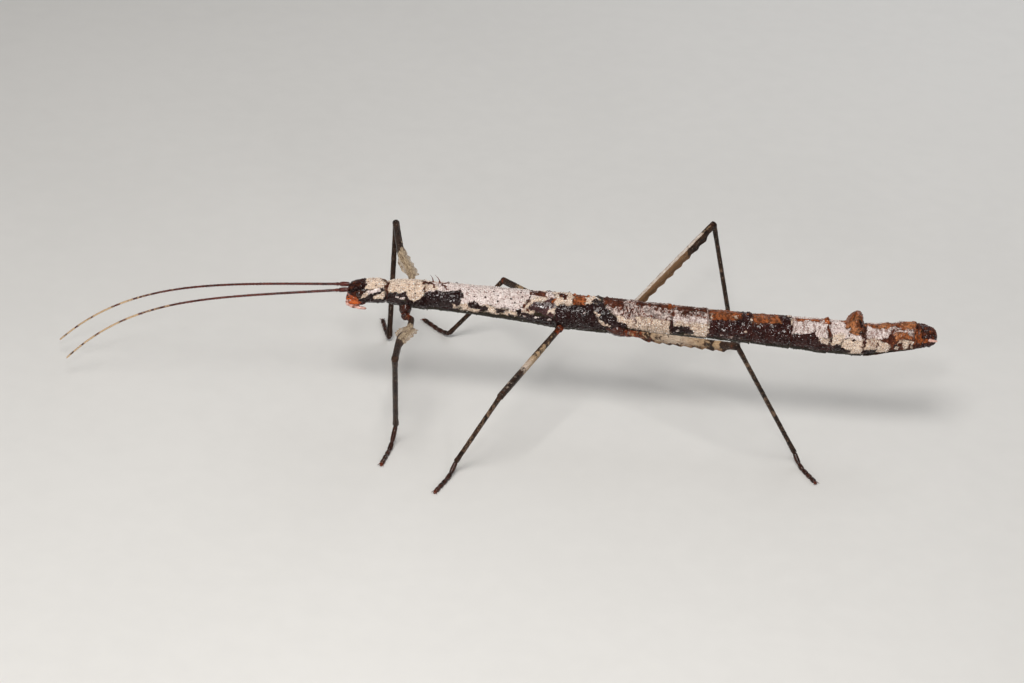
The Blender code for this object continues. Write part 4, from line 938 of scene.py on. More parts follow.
def grainTree():
    tree, given, result = newGrowth("skinGrains", (
        ("Spacing", scalar, 0.0003), ("Radius", scalar, 0.0001), ("Flatness", scalar, 0.7),
        ("From", scalar, -1.0), ("To", scalar, 1.0), ("Seed", "NodeSocketInt", 4)))
    spot = put(tree, "ShaderNodeSeparateXYZ", {0: tree.nodes.new("GeometryNodeInputPosition").outputs[0]})
    after, before = [put(tree, "FunctionNodeCompare", {0: spot.outputs[0], 1: given[end]},
                         operation=way).outputs[0]
                     for end, way in (("From", "GREATER_THAN"), ("To", "LESS_THAN"))]
    inside = put(tree, "FunctionNodeBooleanMath", {0: after, 1: before})
    scatter = put(tree, "GeometryNodeDistributePointsOnFaces", {
        "Mesh": given["Geometry"], "Selection": inside.outputs[0], "Distance Min": given["Spacing"],
        "Density Max": 4.0e7, "Density Factor": readField(tree, "grain"), "Seed": given["Seed"]},
        distribute_method="POISSON")
    points = storeField(tree, scatter.outputs["Points"], "tone", random(tree, 11))
    ball = put(tree, "GeometryNodeMeshIcoSphere", {"Radius": given["Radius"], "Subdivisions": 1})
    size = random(tree, 5, 0.55, 1.25)
    squash = put(tree, "ShaderNodeCombineXYZ", {0: size, 1: size, 2: times(tree, size, given["Flatness"])})
    copies = put(tree, "GeometryNodeInstanceOnPoints", {
        "Points": points, "Instance": keepPlace(tree, ball.outputs["Mesh"]),
        "Rotation": scatter.outputs["Rotation"], "Scale": squash.outputs[0]})
    solid = put(tree, "GeometryNodeRealizeInstances", {0: copies.outputs[0]})
    smooth = put(tree, "GeometryNodeSetShadeSmooth", {0: solid.outputs[0]})
    return tree, smooth.outputs[0], result["Geometry"]


def bristleTree():
    tree, given, result = newGrowth("bristles", (
        ("Density", scalar, 2.0e7), ("Length", scalar, 0.0003), ("Thickness", scalar, 0.00002),
        ("Lean", scalar, 1.2), ("Seed", "NodeSocketInt", 7)))
    scatter = put(tree, "GeometryNodeDistributePointsOnFaces", {
        "Mesh": given["Geometry"], "Density": given["Density"], "Seed": given["Seed"]},
        distribute_method="RANDOM")
    forward = put(tree, "ShaderNodeVectorMath", {0: readField(tree, "run", "FLOAT_VECTOR"),
                                                 "Scale": given["Lean"]}, operation="SCALE")
    aim = put(tree, "ShaderNodeVectorMath", {0: forward.outputs[0], 1: scatter.outputs["Normal"]},
              operation="ADD")
    turn = put(tree, "FunctionNodeAlignRotationToVector", {"Vector": aim.outputs[0]}, axis="Z")
    spike = put(tree, "GeometryNodeMeshCone", {"Vertices": 4, "Side Segments": 1, "Radius Top": 0.0,
                                               "Radius Bottom": given["Thickness"],
                                               "Depth": given["Length"]})
    length = scaled(tree, random(tree, 5), 0.7, 0.5)
    copies = put(tree, "GeometryNodeInstanceOnPoints", {
        "Points": scatter.outputs["Points"], "Instance": keepPlace(tree, spike.outputs["Mesh"]),
        "Rotation": turn.outputs[0],
        "Scale": put(tree, "ShaderNodeCombineXYZ", {0: 1.0, 1: 1.0, 2: length}).outputs[0]})
    solid = put(tree, "GeometryNodeRealizeInstances", {0: copies.outputs[0]})
    return tree, solid.outputs[0], result["Geometry"]


tuftPatch = 0.003   # size of one grain's patch on the UV map


def growOn(piece, name, growth, values, material):
    tree, last, output = growth()
    dress = put(tree, "GeometryNodeSetMaterial", {"Geometry": last, "Material": material})
    tree.links.new(dress.outputs[0], output)
    coat = addObject(name, piece.data.copy())
    modifier = coat.modifiers.new(name, "NODES")
    modifier.node_group = tree
    for item in tree.interface.items_tree:
        if item.in_out == "INPUT" and item.name in values:
            modifier[item.identifier] = values[item.name]
    graph = bpy.context.evaluated_depsgraph_get()
    mesh = bpy.data.meshes.new_from_object(coat.evaluated_get(graph), preserve_all_data_layers=True,
                                           depsgraph=graph)
    coat.modifiers.clear()
    coat.data = mesh
    mesh.name = name
    mesh.materials.clear()
    mesh.materials.append(material)

    def column(label, size):
        values = np.zeros(len(mesh.vertices) * size, np.float32)
        mesh.attributes[label].data.foreach_get("vector" if size == 3 else "value", values)
        return values.reshape(-1, size)

    # Each grain or bristle is a small patch of its own on an unwrap of the piece below it.
    corner = np.zeros(len(mesh.loops), np.int32)
    mesh.loops.foreach_get("vertex_index", corner)
    petal = column("petal", 3)
    petal = petal[:, :2] / (2 * np.abs(petal).max())
    spread = np.concatenate((column("rootU", 1), column("rootV", 1)), 1) + tuftPatch * petal
    layer = mesh.uv_layers.new(name="OFBake")
    layer.data.foreach_set("uv", spread[corner].astype(np.float32).ravel())
    for label in ("petal", "rootU", "rootV", "grain", "run"):
        if label in mesh.attributes:
            mesh.attributes.remove(mesh.attributes[label])
    print(name, len(mesh.polygons), "faces")
    return coat


grainSizes = {"Spacing": 0.00029, "Radius": 0.000125, "Flatness": 0.75}
grainShell = skinMaterial("insectGrains", raised=True)
parting = -7.0 * mm + shift[0]   # where the fore coat of grains ends and the hind one starts
for name, start, end, seed in (("foreGrains", -1.0, parting, 4), ("hindGrains", parting, 1.0, 9)):
    coat = growOn(bodySkin, name, grainTree, {**grainSizes, "From": start, "To": end, "Seed": seed},
                  grainShell)
    finishPiece(coat, "body_cuticle")
finishPiece(bodySkin, "body_cuticle", "head", *trunkNodes)


# dull, bright and pale tone, roughness, gloss of the coat; what differs from plainShell after them
plainShell = {"striae": 0.0, "specks": 0.0, "grainScale": 4200.0, "fineness": 1500.0,
              "reds": (rgb(0.035, 0.008, 0.005), rgb(0.27, 0.052, 0.014)), "furrow": rgb(0.20, 0.095, 0.050),
              "tan": rgb(0.21, 0.125, 0.062), "rim": rgb(0.93, 0.86, 0.78), "fleck": rgb(0.62, 0.55, 0.44)}
shellTones = {
    "legShell": (rgb(0.010, 0.005, 0.004), rgb(0.060, 0.031, 0.019), rgb(0.62, 0.45, 0.27), 0.38, 0.15,
                 {"striae": 0.75, "specks": 0.32, "fineness": 2300.0}),
    "lobedShell": (rgb(0.010, 0.005, 0.004), rgb(0.060, 0.031, 0.019), rgb(0.74, 0.58, 0.39), 0.38, 0.10,
                   {"striae": 0.95, "specks": 0.25, "fineness": 2300.0, "furrow": rgb(0.085, 0.040, 0.022)}),
    "shinShell": (rgb(0.006, 0.0028, 0.002), rgb(0.052, 0.025, 0.015), rgb(0.30, 0.215, 0.155), 0.38, 0.15,
                  {"striae": 0.5, "specks": 0.40, "fineness": 4200.0}),
    "hipShell": (rgb(0.010, 0.003, 0.0025), rgb(0.066, 0.018, 0.010), rgb(0.68, 0.58, 0.50), 0.20, 0.7,
                 {"specks": 0.35}),
    "footShell": (rgb(0.010, 0.004, 0.003), rgb(0.062, 0.021, 0.013), rgb(0.50, 0.34, 0.24), 0.20, 0.55,
                  {"specks": 0.35}),
    "feelerShell": (rgb(0.028, 0.006, 0.005), rgb(0.13, 0.028, 0.021), rgb(0.60, 0.42, 0.25), 0.26, 0.45,
                    {"specks": 0.30, "grainScale": 8000.0}),
    "mouthShell": (rgb(0.055, 0.011, 0.008), rgb(0.20, 0.050, 0.030), rgb(0.72, 0.42, 0.35), 0.20, 0.8,
                   {"reds": (rgb(0.22, 0.026, 0.006), rgb(0.72, 0.15, 0.022))}),
    "clawShell": (rgb(0.048, 0.011, 0.006), rgb(0.15, 0.036, 0.017), rgb(0.45, 0.25, 0.12), 0.18, 0.8,
                  {"grainScale": 9000.0}),
}


def shellMaterial(name):
    # Reads these fields of a piece: "paleMark" and "redMark" (mm, positive on the marking), "tan" and
    # "bright" (share of the pale tone; "bright" whitens it, partly as a painted highlight), and "around" and
    # "along" for lengthwise ridges.
    dull, bright, pale, rough, coat, own = shellTones[name]
    look = {**plainShell, **own}
    material, tree, shader = newMaterial(name, {"Coat Weight": coat, "Coat Roughness": 0.14, "Coat IOR": 1.4,
                                                "IOR": 1.5, "Specular IOR Level": 0.09})
    tones = useGroup(tree, mottle, {"Broad": 900.0, "Fine": 4200.0})
    grains = useGroup(tree, granules, {"Scale": look["grainScale"], "Jitter": 1.0})
    shade = mixColour(tree, tones["Tone"], dull, bright)
    ridges = put(tree, "ShaderNodeCombineXYZ", {0: times(tree, field(tree, "around"), 9.0),
                                                1: times(tree, field(tree, "along"), 0.55)})
    lines = fade(tree, noise(tree, ridges.outputs[0], 1.6, 3.0, 0.6), 0.38, 0.62)
    red = useGroup(tree, raggedEdge, {"Field": field(tree, "redMark"), "Reach": 0.24, "Soft": 0.16})["Mask"]
    shade = mixColour(tree, red, shade, mixColour(tree, tones["Tone"], *look["reds"]))
    mark = useGroup(tree, raggedEdge, {"Field": field(tree, "paleMark"), "Reach": 0.34,
                                       "Fineness": look["fineness"], "Soft": 0.09})["Mask"]
    paleTone = mixColour(tree, field(tree, "tan"), pale, look["tan"])
    # The "bright" field mixes in a whiter tone, on some femora a painted highlight.
    paleTone = mixColour(tree, field(tree, "bright"), paleTone, look["rim"])
    worn = highest(tree, times(tree, lines, look["striae"]),
                   times(tree, grains["Gap"], tones["Tone"], look["striae"]))
    paleTone = mixColour(tree, worn, paleTone, look["furrow"])
    shade = mixColour(tree, times(tree, mark, 0.92), shade, paleTone)
    flecks = times(tree, fade(tree, grains["Tone"], 0.80, 0.90), grains["Grain"], look["specks"])
    shade = mixColour(tree, flecks, shade, look["fleck"])
    tree.links.new(shade, shader.inputs["Base Color"])
    matt = scaled(tree, tones["Speck"], 0.12, scaled(tree, mark, 0.14, rough))
    tree.links.new(matt, shader.inputs["Roughness"])
    relief(tree, shader, scaled(tree, lines, 0.7 * look["striae"], grains["Grain"]), 0.00004, 0.6)
    return material


shells = {name: shellMaterial(name) for name in shellTones}


def tubePiece(parts, name, material):
    # parts: (path, wide, high, up, extra fields) for each tube; joined into one mesh.
    points, faces, columns, first = [], [], {}, 0
    for path, wide, high, up, extra in parts:
        path = np.asarray(path, float)
        sides = wide.shape[1]
        turn = circle(sides)
        points.append(withPoles(sweepRings(path, wide, high, turn, up)))
        faces += shellFaces(len(path), sides, first)
        first += len(points[-1])
        run = np.concatenate(([0], np.cumsum(np.linalg.norm(np.diff(path, axis=0), axis=1))))
        values = {"along": run[:, None], "around": turn, "paleMark": farOutside, "redMark": farOutside}
        for key, value in {**values, **extra}.items():
            columns.setdefault(key, []).append(poleField(np.broadcast_to(value, wide.shape)))
    return buildMesh(name, np.concatenate(points), faces,
                     {key: np.concatenate(value) for key, value in columns.items()}, material)


def bentPath(corners, count, side=1):
    # A smooth path through a few corners, given for the right side.
    rows = [(number, x, side * y, z) for number, (x, y, z) in enumerate(corners)]
    return readLine(rows, np.linspace(0, len(corners) - 1, count))


def capShare(inwards, blunt, least):
    # Radius share over a tube's rounded end, by the distance inwards from its tip.
    return np.sqrt(np.clip(1 - (1 - np.clip(inwards / blunt, 0, 1)) ** 2, least, 1))


def rounded(count, blunt):
    # Radius share along a tube whose two ends are rounded over.
    t = np.linspace(0, 1, count)
    return capShare(t, blunt, 0.0004) * capShare(1 - t, blunt, 0.0004)


eyeSizes = {"radius": 0.545, "upright": 0.98, "rings": 30, "sides": 44, "poleGap": 0.02,
            "facetScale": 15000.0}


def eyeMaterial():
    material, tree, shader = newMaterial("compoundEye", {
        "Roughness": 0.16, "Coat Weight": 0.8, "Coat IOR": 1.36, "Coat Roughness": 0.05, "IOR": 1.5,
        "Specular IOR Level": 0.2})
    tones = useGroup(tree, mottle, {"Broad": 2600.0, "Fine": 7000.0})
    shade = mixColour(tree, tones["Tone"], rgb(0.010, 0.004, 0.003), rgb(0.050, 0.017, 0.010))
    bands = put(tree, "ShaderNodeTexWave", {"Vector": place(tree), "Scale": 480.0, "Distortion": 3.0,
                                            "Detail": 2.0}, bands_direction="Z").outputs["Fac"]
    shade = mixColour(tree, fade(tree, bands, 0.76, 0.92, 0.0, 0.35), shade, rgb(0.11, 0.055, 0.030))
    tree.links.new(shade, shader.inputs["Base Color"])
    facets = useGroup(tree, granules, {"Scale": eyeSizes["facetScale"], "Jitter": 0.25})["Grain"]
    relief(tree, shader, facets, 0.000012, 0.5)
    return material


def buildEye(side, label, material):
    rings, sides, radius = eyeSizes["rings"], eyeSizes["sides"], eyeSizes["radius"]
    x, y, z = eyePlace
    turn = np.linspace(eyeSizes["poleGap"], np.pi - eyeSizes["poleGap"], rings)[:, None] + np.zeros(sides)
    swing = circle(sides) + np.zeros((rings, 1))
    grid = np.stack((x + radius * np.sin(turn) * np.cos(swing), side * (y + radius * np.cos(turn)),
                     z + radius * np.sin(turn) * np.sin(swing) * eyeSizes["upright"]), -1)
    eye = buildMesh(f"{label}Eye", withPoles(grid), shellFaces(rings, sides), {}, material)
    finishPiece(eye, "eye", f"eye_{label}")


eyeShell = eyeMaterial()
for side, label in sideLabels:
    buildEye(side, label, eyeShell)
print("eyes ready")


mouthPaths = {
    "jaw": ((-42.55, 0.72, 16.45), (-43.5, 0.90, 16.38), (-44.5, 0.80, 16.18), (-44.95, 0.42, 15.95)),
    "palp": ((-43.7, 0.70, 16.45), (-44.75, 1.12, 16.42), (-44.72, 1.34, 16.02), (-43.7, 1.36, 15.60),
             (-41.80, 1.28, 15.42)),
    "lipPalp": ((-43.2, 0.28, 15.75), (-44.0, 0.42, 15.48), (-43.6, 0.52, 15.36), (-42.9, 0.5, 15.34)),
    "lip": ((-44.55, 0, 16.95), (-44.88, 0, 16.6), (-44.9, 0, 16.2), (-44.7, 0, 15.9)),
    "chin": ((-41.9, 0, 15.95), (-42.8, 0, 15.72), (-43.8, 0, 15.66)),
}
mouthSizes = {"sides": 20, "jawRadius": 0.58, "jawTaper": 0.35, "jawWide": 0.72, "jawHigh": 1.20,
              "palpRadius": 0.235, "palpJoints": 5, "lipPalpRadius": 0.15, "lipPalpJoints": 3,
              "lipWide": 0.72, "lipHigh": 0.20, "chinWide": 0.70, "chinHigh": 0.36}


def beads(count, joints, waist=0.60):
    # Radius share along a row of beads.
    t = np.linspace(0, joints, count)
    part = t % 1.0
    part[-1] = 1.0
    return waist + (1 - waist) * np.sin(np.pi * np.clip(part, 0, 1)) ** 0.5


def buildMouth():
    size = mouthSizes
    parts = []
    flat = np.ones((1, size["sides"]))
    for side in (-1, 1):
        # jaw: a glossy orange-red lobe, turned in to meet its twin under the lip
        path = bentPath(mouthPaths["jaw"], 30, side)
        taper = (1 - size["jawTaper"] * np.linspace(0, 1, 30))[:, None]
        jaw = rounded(30, 0.3)[:, None] * size["jawRadius"] * taper * flat
        blotch = 0.26 * np.sin(np.linspace(0.3, 3.0, 30))[:, None] - 0.04
        blotch = blotch + 0.60 * lumps(aroundPath(path, circle(size["sides"]), 0.5), 0.42, 22)
        parts.append((path, jaw * size["jawWide"], jaw * size["jawHigh"], (0, 0, 1), {"redMark": blotch}))
        # long feeler of the mouth, pale on its beads
        path = bentPath(mouthPaths["palp"], 90, side)
        bead = beads(90, size["palpJoints"])
        palp = (rounded(90, 0.06) * bead * size["palpRadius"])[:, None] * flat
        pale = 0.22 * bead[:, None] - 0.16 + 0.25 * lumps(path, 0.5, 21)[:, None]
        parts.append((path, palp, palp, (0, 1, 0), {"paleMark": pale}))
        # short feeler of the lower lip
        path = bentPath(mouthPaths["lipPalp"], 50, side)
        palp = (rounded(50, 0.1) * beads(50, size["lipPalpJoints"]) * size["lipPalpRadius"])[:, None] * flat
        parts.append((path, palp, palp, (0, 1, 0), {"paleMark": 0.08}))
    # upper lip, hanging at the front, and chin
    for name, count, blunt, up, red in (("lip", 26, 0.35, (1, 0, 0), -0.1),
                                        ("chin", 24, 0.4, (0, 0, 1), -0.4)):
        plate = rounded(count, blunt)[:, None] * flat
        parts.append((bentPath(mouthPaths[name], count), plate * size[name + "Wide"],
                      plate * size[name + "High"], up, {"redMark": red}))
    return tubePiece(parts, "mouthparts_skin", shells["mouthShell"])


finishPiece(buildMouth(), "mouthparts", "mouthparts")
print("mouth ready")


feelerSizes = {"root": (-44.7, 0.78, 18.25), "spread": 2.2, "spreadPower": 0.9, "sag": 5.2,
               "scape": 1.5, "scapeRadius": 0.36, "pedicel": 0.55, "pedicelRadius": 0.27,
               "baseRadius": 0.215, "tipRadius": 0.125, "endRadius": 0.03, "joints": 78,
               "jointGrowth": 1.18,   # the joints grow longer towards the tip
               "ringsPerJoint": 5, "sides": 14}
feelerShapes = {"left": {"reach": 42.8, "hook": 9.7, "hookPower": 4.6},
                "right": {"reach": 44.9, "hook": 10.3, "hookPower": 4.3}}
feelerBristles = {"Density": 2.6e7, "Length": 0.00017, "Thickness": 0.000012, "Lean": 1.3}


def feelerPath(side, shape, u):
    x, y, z = feelerSizes["root"]
    return np.stack((x - shape["reach"] * u,
                     side * (y + feelerSizes["spread"] * u ** feelerSizes["spreadPower"]),
                     z - feelerSizes["sag"] * u - shape["hook"] * u ** shape["hookPower"]), -1)


def feelerRings(reach):
    # Rows of place along the feeler (0 to 1), radius, and 1 in the waist between two joints.
    size = feelerSizes
    rows = []
    for t in np.linspace(0, 1, 16, endpoint=False):
        swell = 0.62 + 0.38 * math.sin(math.pi * (0.08 + 0.86 * t)) ** 0.5
        rows.append((t * size["scape"] / reach, size["scapeRadius"] * swell, 0.0))
    for t in np.linspace(0, 1, 7, endpoint=False):
        swell = 0.70 + 0.30 * math.sin(math.pi * t)
        rows.append(((size["scape"] + t * size["pedicel"]) / reach, size["pedicelRadius"] * swell, t < 0.2))
    first = (size["scape"] + size["pedicel"]) / reach
    starts = np.linspace(0, 1, size["joints"] + 1) ** size["jointGrowth"]
    for start, end in zip(starts, starts[1:]):
        for t in np.arange(size["ringsPerJoint"]) / size["ringsPerJoint"]:
            v = start + (end - start) * t
            thin = size["baseRadius"] + (size["tipRadius"] - size["baseRadius"]) * v
            swell = 0.16 * (1 - 0.7 * v)
            radius = thin * (1 - swell + swell * 1.6 * t ** 1.5 * (1 - (t > 0.85) * 0.4))
            rows.append((first + (1 - first) * v, radius, t < 0.15))
    rows.append((1.0, size["endRadius"], 0.0))
    return np.array(rows, float).T


def buildFeeler(side, label):
    shape, sides = feelerShapes[label], feelerSizes["sides"]
    u, radius, joint = feelerRings(shape["reach"])
    path = feelerPath(side, shape, u)
    radius = radius[:, None] * np.ones((1, sides))
    # dark at the root, paler and banded towards the tip
    paler = ramp(u, 0.42, 0.86)[:, None]
    bands = 0.10 * lumps(path, 1.4, 31 + side) - 0.17 * ramp(np.sin(u * 118 + 3 * np.sin(u * 19)), 0.2, 0.95)
    pale = -0.42 + 0.58 * paler + bands[:, None] * (0.3 + paler) - 0.10 * joint[:, None]
    feeler = tubePiece([(path, radius, radius, (0, 0, 1), {"paleMark": pale})],
                       f"{label}Feeler", shells["feelerShell"])
    count = len(feeler.data.vertices)
    along, _, _ = pathFrames(path)
    setField(feeler.data, "run", np.concatenate((np.repeat(along, sides, 0), along[:1], along[-1:])),
             "FLOAT_VECTOR")
    setField(feeler.data, "rootU", poleField(np.repeat(u[:, None], sides, 1)))
    setField(feeler.data, "rootV", poleField(np.repeat(np.arange(sides)[None] / sides, len(u), 0)))
    hair = growOn(feeler, f"{label}FeelerBristles", bristleTree, {**feelerBristles, "Seed": 20 + side},
                  shells["feelerShell"])
    finishPiece(feeler, "antenna", f"antenna_{label}")
    finishPiece(hair, "antenna")
    print(label, "feeler:", count, "points")


for side, label in sideLabels:
    buildFeeler(side, label)


hips = {
    "fore": {"root": (-35.8, 2.5, 15.6), "hip": (-36.0, 1.3, 16.9), "radius": 1.00},
    "mid": {"root": (-12.1, 2.4, 15.6), "hip": (-12.0, 1.2, 16.4), "radius": 1.10},
    "hind": {"root": (-2.4, 2.8, 15.6), "hip": (-5.0, 1.5, 16.0), "radius": 1.20},
}
legPose = {
    ("left", "fore"): {"femur": 19.6, "sweep": 1, "lift": 12, "roll": 0,
                       "tibia": 18.4, "shin": -178, "drop": 65, "toe": 13, "foot": 6.6},
    ("right", "fore"): {"femur": 19.6, "sweep": 10, "lift": 6, "roll": 18,
                        "tibia": 18.4, "shin": -178, "drop": 66, "toe": 14, "foot": 6.2},
    ("left", "mid"): {"femur": 19.0, "sweep": 26.4, "lift": -7.6, "roll": 0,
                      "tibia": 12.8, "shin": 77, "drop": 62, "toe": 24, "foot": 6.3},
    ("right", "mid"): {"femur": 18.9, "sweep": 31, "lift": -15, "roll": 0,
                       "tibia": 12.8, "shin": 99, "drop": 50.5, "toe": 43, "foot": 6.2},
    ("left", "hind"): {"femur": 21.7, "sweep": -51.2, "lift": 18.9, "roll": 0,
                       "tibia": 24.2, "shin": -113, "drop": 60.2, "toe": -29, "foot": 6.1},
    ("right", "hind"): {"femur": 21.7, "sweep": -40.6, "lift": 22.4, "roll": -26,
                        "tibia": 23.8, "shin": -66, "drop": 75.2, "toe": -30, "foot": 6.0},
}
# Pale stretches from 0 at a part's root to 1 at its end: start, end, how strong (mm of field).
legMarks = {
    ("left", "fore"): {"femur": ((0.255, 0.44, 0.28), (0.46, 0.95, -0.30)),
                       "tibia": ((0.02, 0.98, -0.26),)},
    ("right", "fore"): {"femur": ((0.10, 0.58, 0.24), (0.58, 0.95, -0.26)), "tibia": ((0.02, 0.98, -0.24),)},
    ("left", "mid"): {"femur": ((0.12, 0.33, -0.14), (0.30, 0.67, 0.03), (0.46, 0.62, 0.24),
                                (0.62, 0.90, -0.20)),
                      "tibia": ((0.03, 0.84, -0.05),)},
    ("right", "mid"): {"femur": ((0.10, 0.40, -0.10), (0.55, 0.75, -0.02)), "tibia": ((0.03, 0.84, -0.09),)},
    # The left hind femur's pale stretches are kept weak, partly as painted shade cast by the body.
    ("left", "hind"): {"femur": ((0.06, 0.28, -0.14), (0.26, 0.72, 0.03), (0.36, 0.60, 0.12),
                                 (0.70, 0.80, -0.12), (0.81, 0.86, 0.14)),
                       "tibia": ((0.02, 0.95, -0.12), (0.14, 0.17, 0.0), (0.31, 0.34, -0.02),
                                 (0.46, 0.49, 0.0), (0.60, 0.63, -0.04), (0.75, 0.77, -0.02))},
    ("right", "hind"): {"femur": ((0.02, 0.88, 0.26), (0.88, 0.97, -0.12)),
                        "tibia": ((0.03, 0.95, -0.15), (0.36, 0.39, -0.04))},
}
coxaSizes = {"rings": 70, "sides": 26, "trochanter": 1.1,
             "places": (0, 0.2, 0.4, 0.50, 0.60, 0.76, 0.90, 1.0),
             "hipShares": (0.90, 0.93, 0.62),                        # of the hip's radius, then mm
             "trochanterRadii": (0.56, 0.60, 0.60, 0.50, 0.40)}
# Half sizes at the root, the middle and the knee. The keel with its teeth runs along the underside.
femurSizes = {
    "fore": {"halfWidth": (0.50, 0.62, 0.58), "halfHeight": (0.50, 0.58, 0.60), "keel": 0.10, "bow": 1.1},
    "mid": {"halfWidth": (0.46, 0.52, 0.55), "halfHeight": (0.48, 0.56, 0.58), "keel": 0.10,
            "teeth": 7, "tooth": 0.15},
    "hind": {"halfWidth": (0.48, 0.56, 0.58), "halfHeight": (0.50, 0.60, 0.59), "keel": 0.42,
             "teeth": 8, "tooth": 0.26},
}
# Long low ridges of a femur: angle round it, height.
femurRidges = ((45, .11), (135, .11), (225, .11), (315, .11), (90, .10))
femurEnd = {"rings": (0.08, 0.16, 0.24, 0.29), "radius": 0.31}   # mm past the knee
# The leaf-like lobes of the fore femur, from 0 at its root to 1 at the knee; widths in mm.
lobe = {"start": 0.27, "full": 0.34, "fade": 0.54, "end": 0.74, "width": 0.68, "teeth": 6,
        "tooth": 0.34, "frontFull": 0.33, "frontFade": 0.40, "frontEnd": 0.56, "frontWidth": 1.0,
        "frontTeeth": 7, "frontTooth": 0.16, "thin": 8.5}
hindTan = {"left": 0.10, "right": 0.45}   # how tan the pale of the hind femora is
kneeRed = {("right", "mid"): 0.50}        # how red the knees are, where it isn't the usual
usualKneeRed = 0.34
tibiaSizes = {"fore": 0.44, "mid": 0.38, "hind": 0.38, "rings": 130, "sides": 30, "back": 0.012}
footSizes = {"radius": 0.385, "waist": 0.27, "sole": 0.24, "landing": 0.5, "joints": 5, "sides": 26,
             "ringsPerJoint": 14, "jointPower": 0.85, "floorGap": 0.004}
clawSizes = {"radius": 0.12, "length": 0.85, "spread": 32.0, "lowest": 0.09, "padWide": 0.24,
             "padHigh": 0.155, "padLength": 0.62, "padLevel": 0.17}


def heading(side, sweep, lift):
    # Direction of a leg's part: swept forward from straight out, lifted from level.
    sweep, lift = math.radians(sweep), math.radians(lift)
    flat = math.cos(lift)
    return np.array((-math.sin(sweep) * flat, side * math.cos(sweep) * flat, math.sin(lift)))


def threePoint(sizes, t):
    start, middle, end = sizes
    return np.where(t < 0.5, start + (middle - start) * ramp(t, 0, 0.5),
                    middle + (end - middle) * ramp(t, 0.5, 1))


def saw(t, count, start, end):
    # Teeth from 0 to 1 between start and end, steeper on their far side.
    part = (t - start) / (end - start) * count % 1.0
    teeth = np.where(part < 0.7, part / 0.7, (1 - part) / 0.3)
    return np.where((t > start) & (t < end), teeth, 0.0)


def legPoints(side, label, pair):
    pose = legPose[(label, pair)]
    x, y, z = hips[pair]["root"]
    root = np.array((x, side * y, z))
    out = heading(side, pose["sweep"], pose["lift"])
    knee = root + out * pose["femur"]
    down = heading(side, pose["shin"], -pose["drop"])
    return root, out, knee, down, knee + down * pose["tibia"], heading(side, pose["toe"], 0)


def stretches(t, length, marks):
    # Field in mm along a part: positive inside its pale stretches.
    value = np.full(t.shape, -0.45)
    for start, end, strength in marks:
        inside = np.minimum(t - start, end - t) * length
        value = np.maximum(value, np.clip(inside, -0.6, strength))
    return value


def legName(label, pair, part):
    return f"{label}{pair.capitalize()}{part}"


def buildCoxa(side, label, pair, root, out):
    x, y, z = hips[pair]["hip"]
    hip = np.array((x, side * y, z))
    path = bentPath([hip, hip + (root - hip) * 0.55, root - (root - hip) * 0.05, root + out * 0.45,
                     root + out * 0.95, root + out * coxaSizes["trochanter"]], coxaSizes["rings"])
    t = np.linspace(0, 1, coxaSizes["rings"])
    radii = [share * hips[pair]["radius"] for share in coxaSizes["hipShares"]]
    radius = np.interp(t, coxaSizes["places"], radii + list(coxaSizes["trochanterRadii"]))
    turn = circle(coxaSizes["sides"])
    spots = aroundPath(path, turn)
    size = radius[:, None] * (1 + 0.05 * np.cos(4 * turn)) + 0.04 * lumps(spots, 0.4, 40)
    # red on the trochanter, a few pale patches on the hip
    red = np.minimum(t - 0.50, 0.86 - t)[:, None] * 1.2 - 0.14 + 0.34 * lumps(spots, 0.45, 41)
    pale = -0.42 + 0.30 * lumps(spots, 0.7, 42) - 1.2 * ramp(t, 0.4, 0.5)[:, None]
    coxa = tubePiece([(path, size, size, (0, 0, 1), {"redMark": red, "paleMark": pale})],
                     legName(label, pair, "Coxa"), shells["hipShell"])
    finishPiece(coxa, "leg_cuticle", f"{label}_{pair}_coxa")


def offAngle(angle, centre):
    return np.abs((angle - centre + 180) % 360 - 180)


def shapeLobes(tt, angle, length):
    # Widths that the toothed lobes of the fore femur add behind and in front, and the crinkle in them.
    full = ramp(tt, lobe["start"], lobe["full"]) * (1 - ramp(tt, lobe["fade"], lobe["end"]))
    teeth = lobe["width"] + lobe["tooth"] * saw(tt, lobe["teeth"], lobe["start"], lobe["end"])
    hind = teeth * full * bump(offAngle(angle, 0), lobe["thin"])
    front = lobe["frontWidth"] * ramp(tt, lobe["start"] - 0.02, lobe["frontFull"])
    front = front * (1 - ramp(tt, lobe["frontFade"], lobe["frontEnd"]))
    front = front * bump(offAngle(angle, 180), lobe["thin"])
    front = front * (1 + lobe["frontTooth"] * saw(tt, lobe["frontTeeth"], 0.24, 0.60))
    return hind, front, 0.05 * np.sin(tt * length * 7) * ramp(hind + front, 0.1, 0.5)


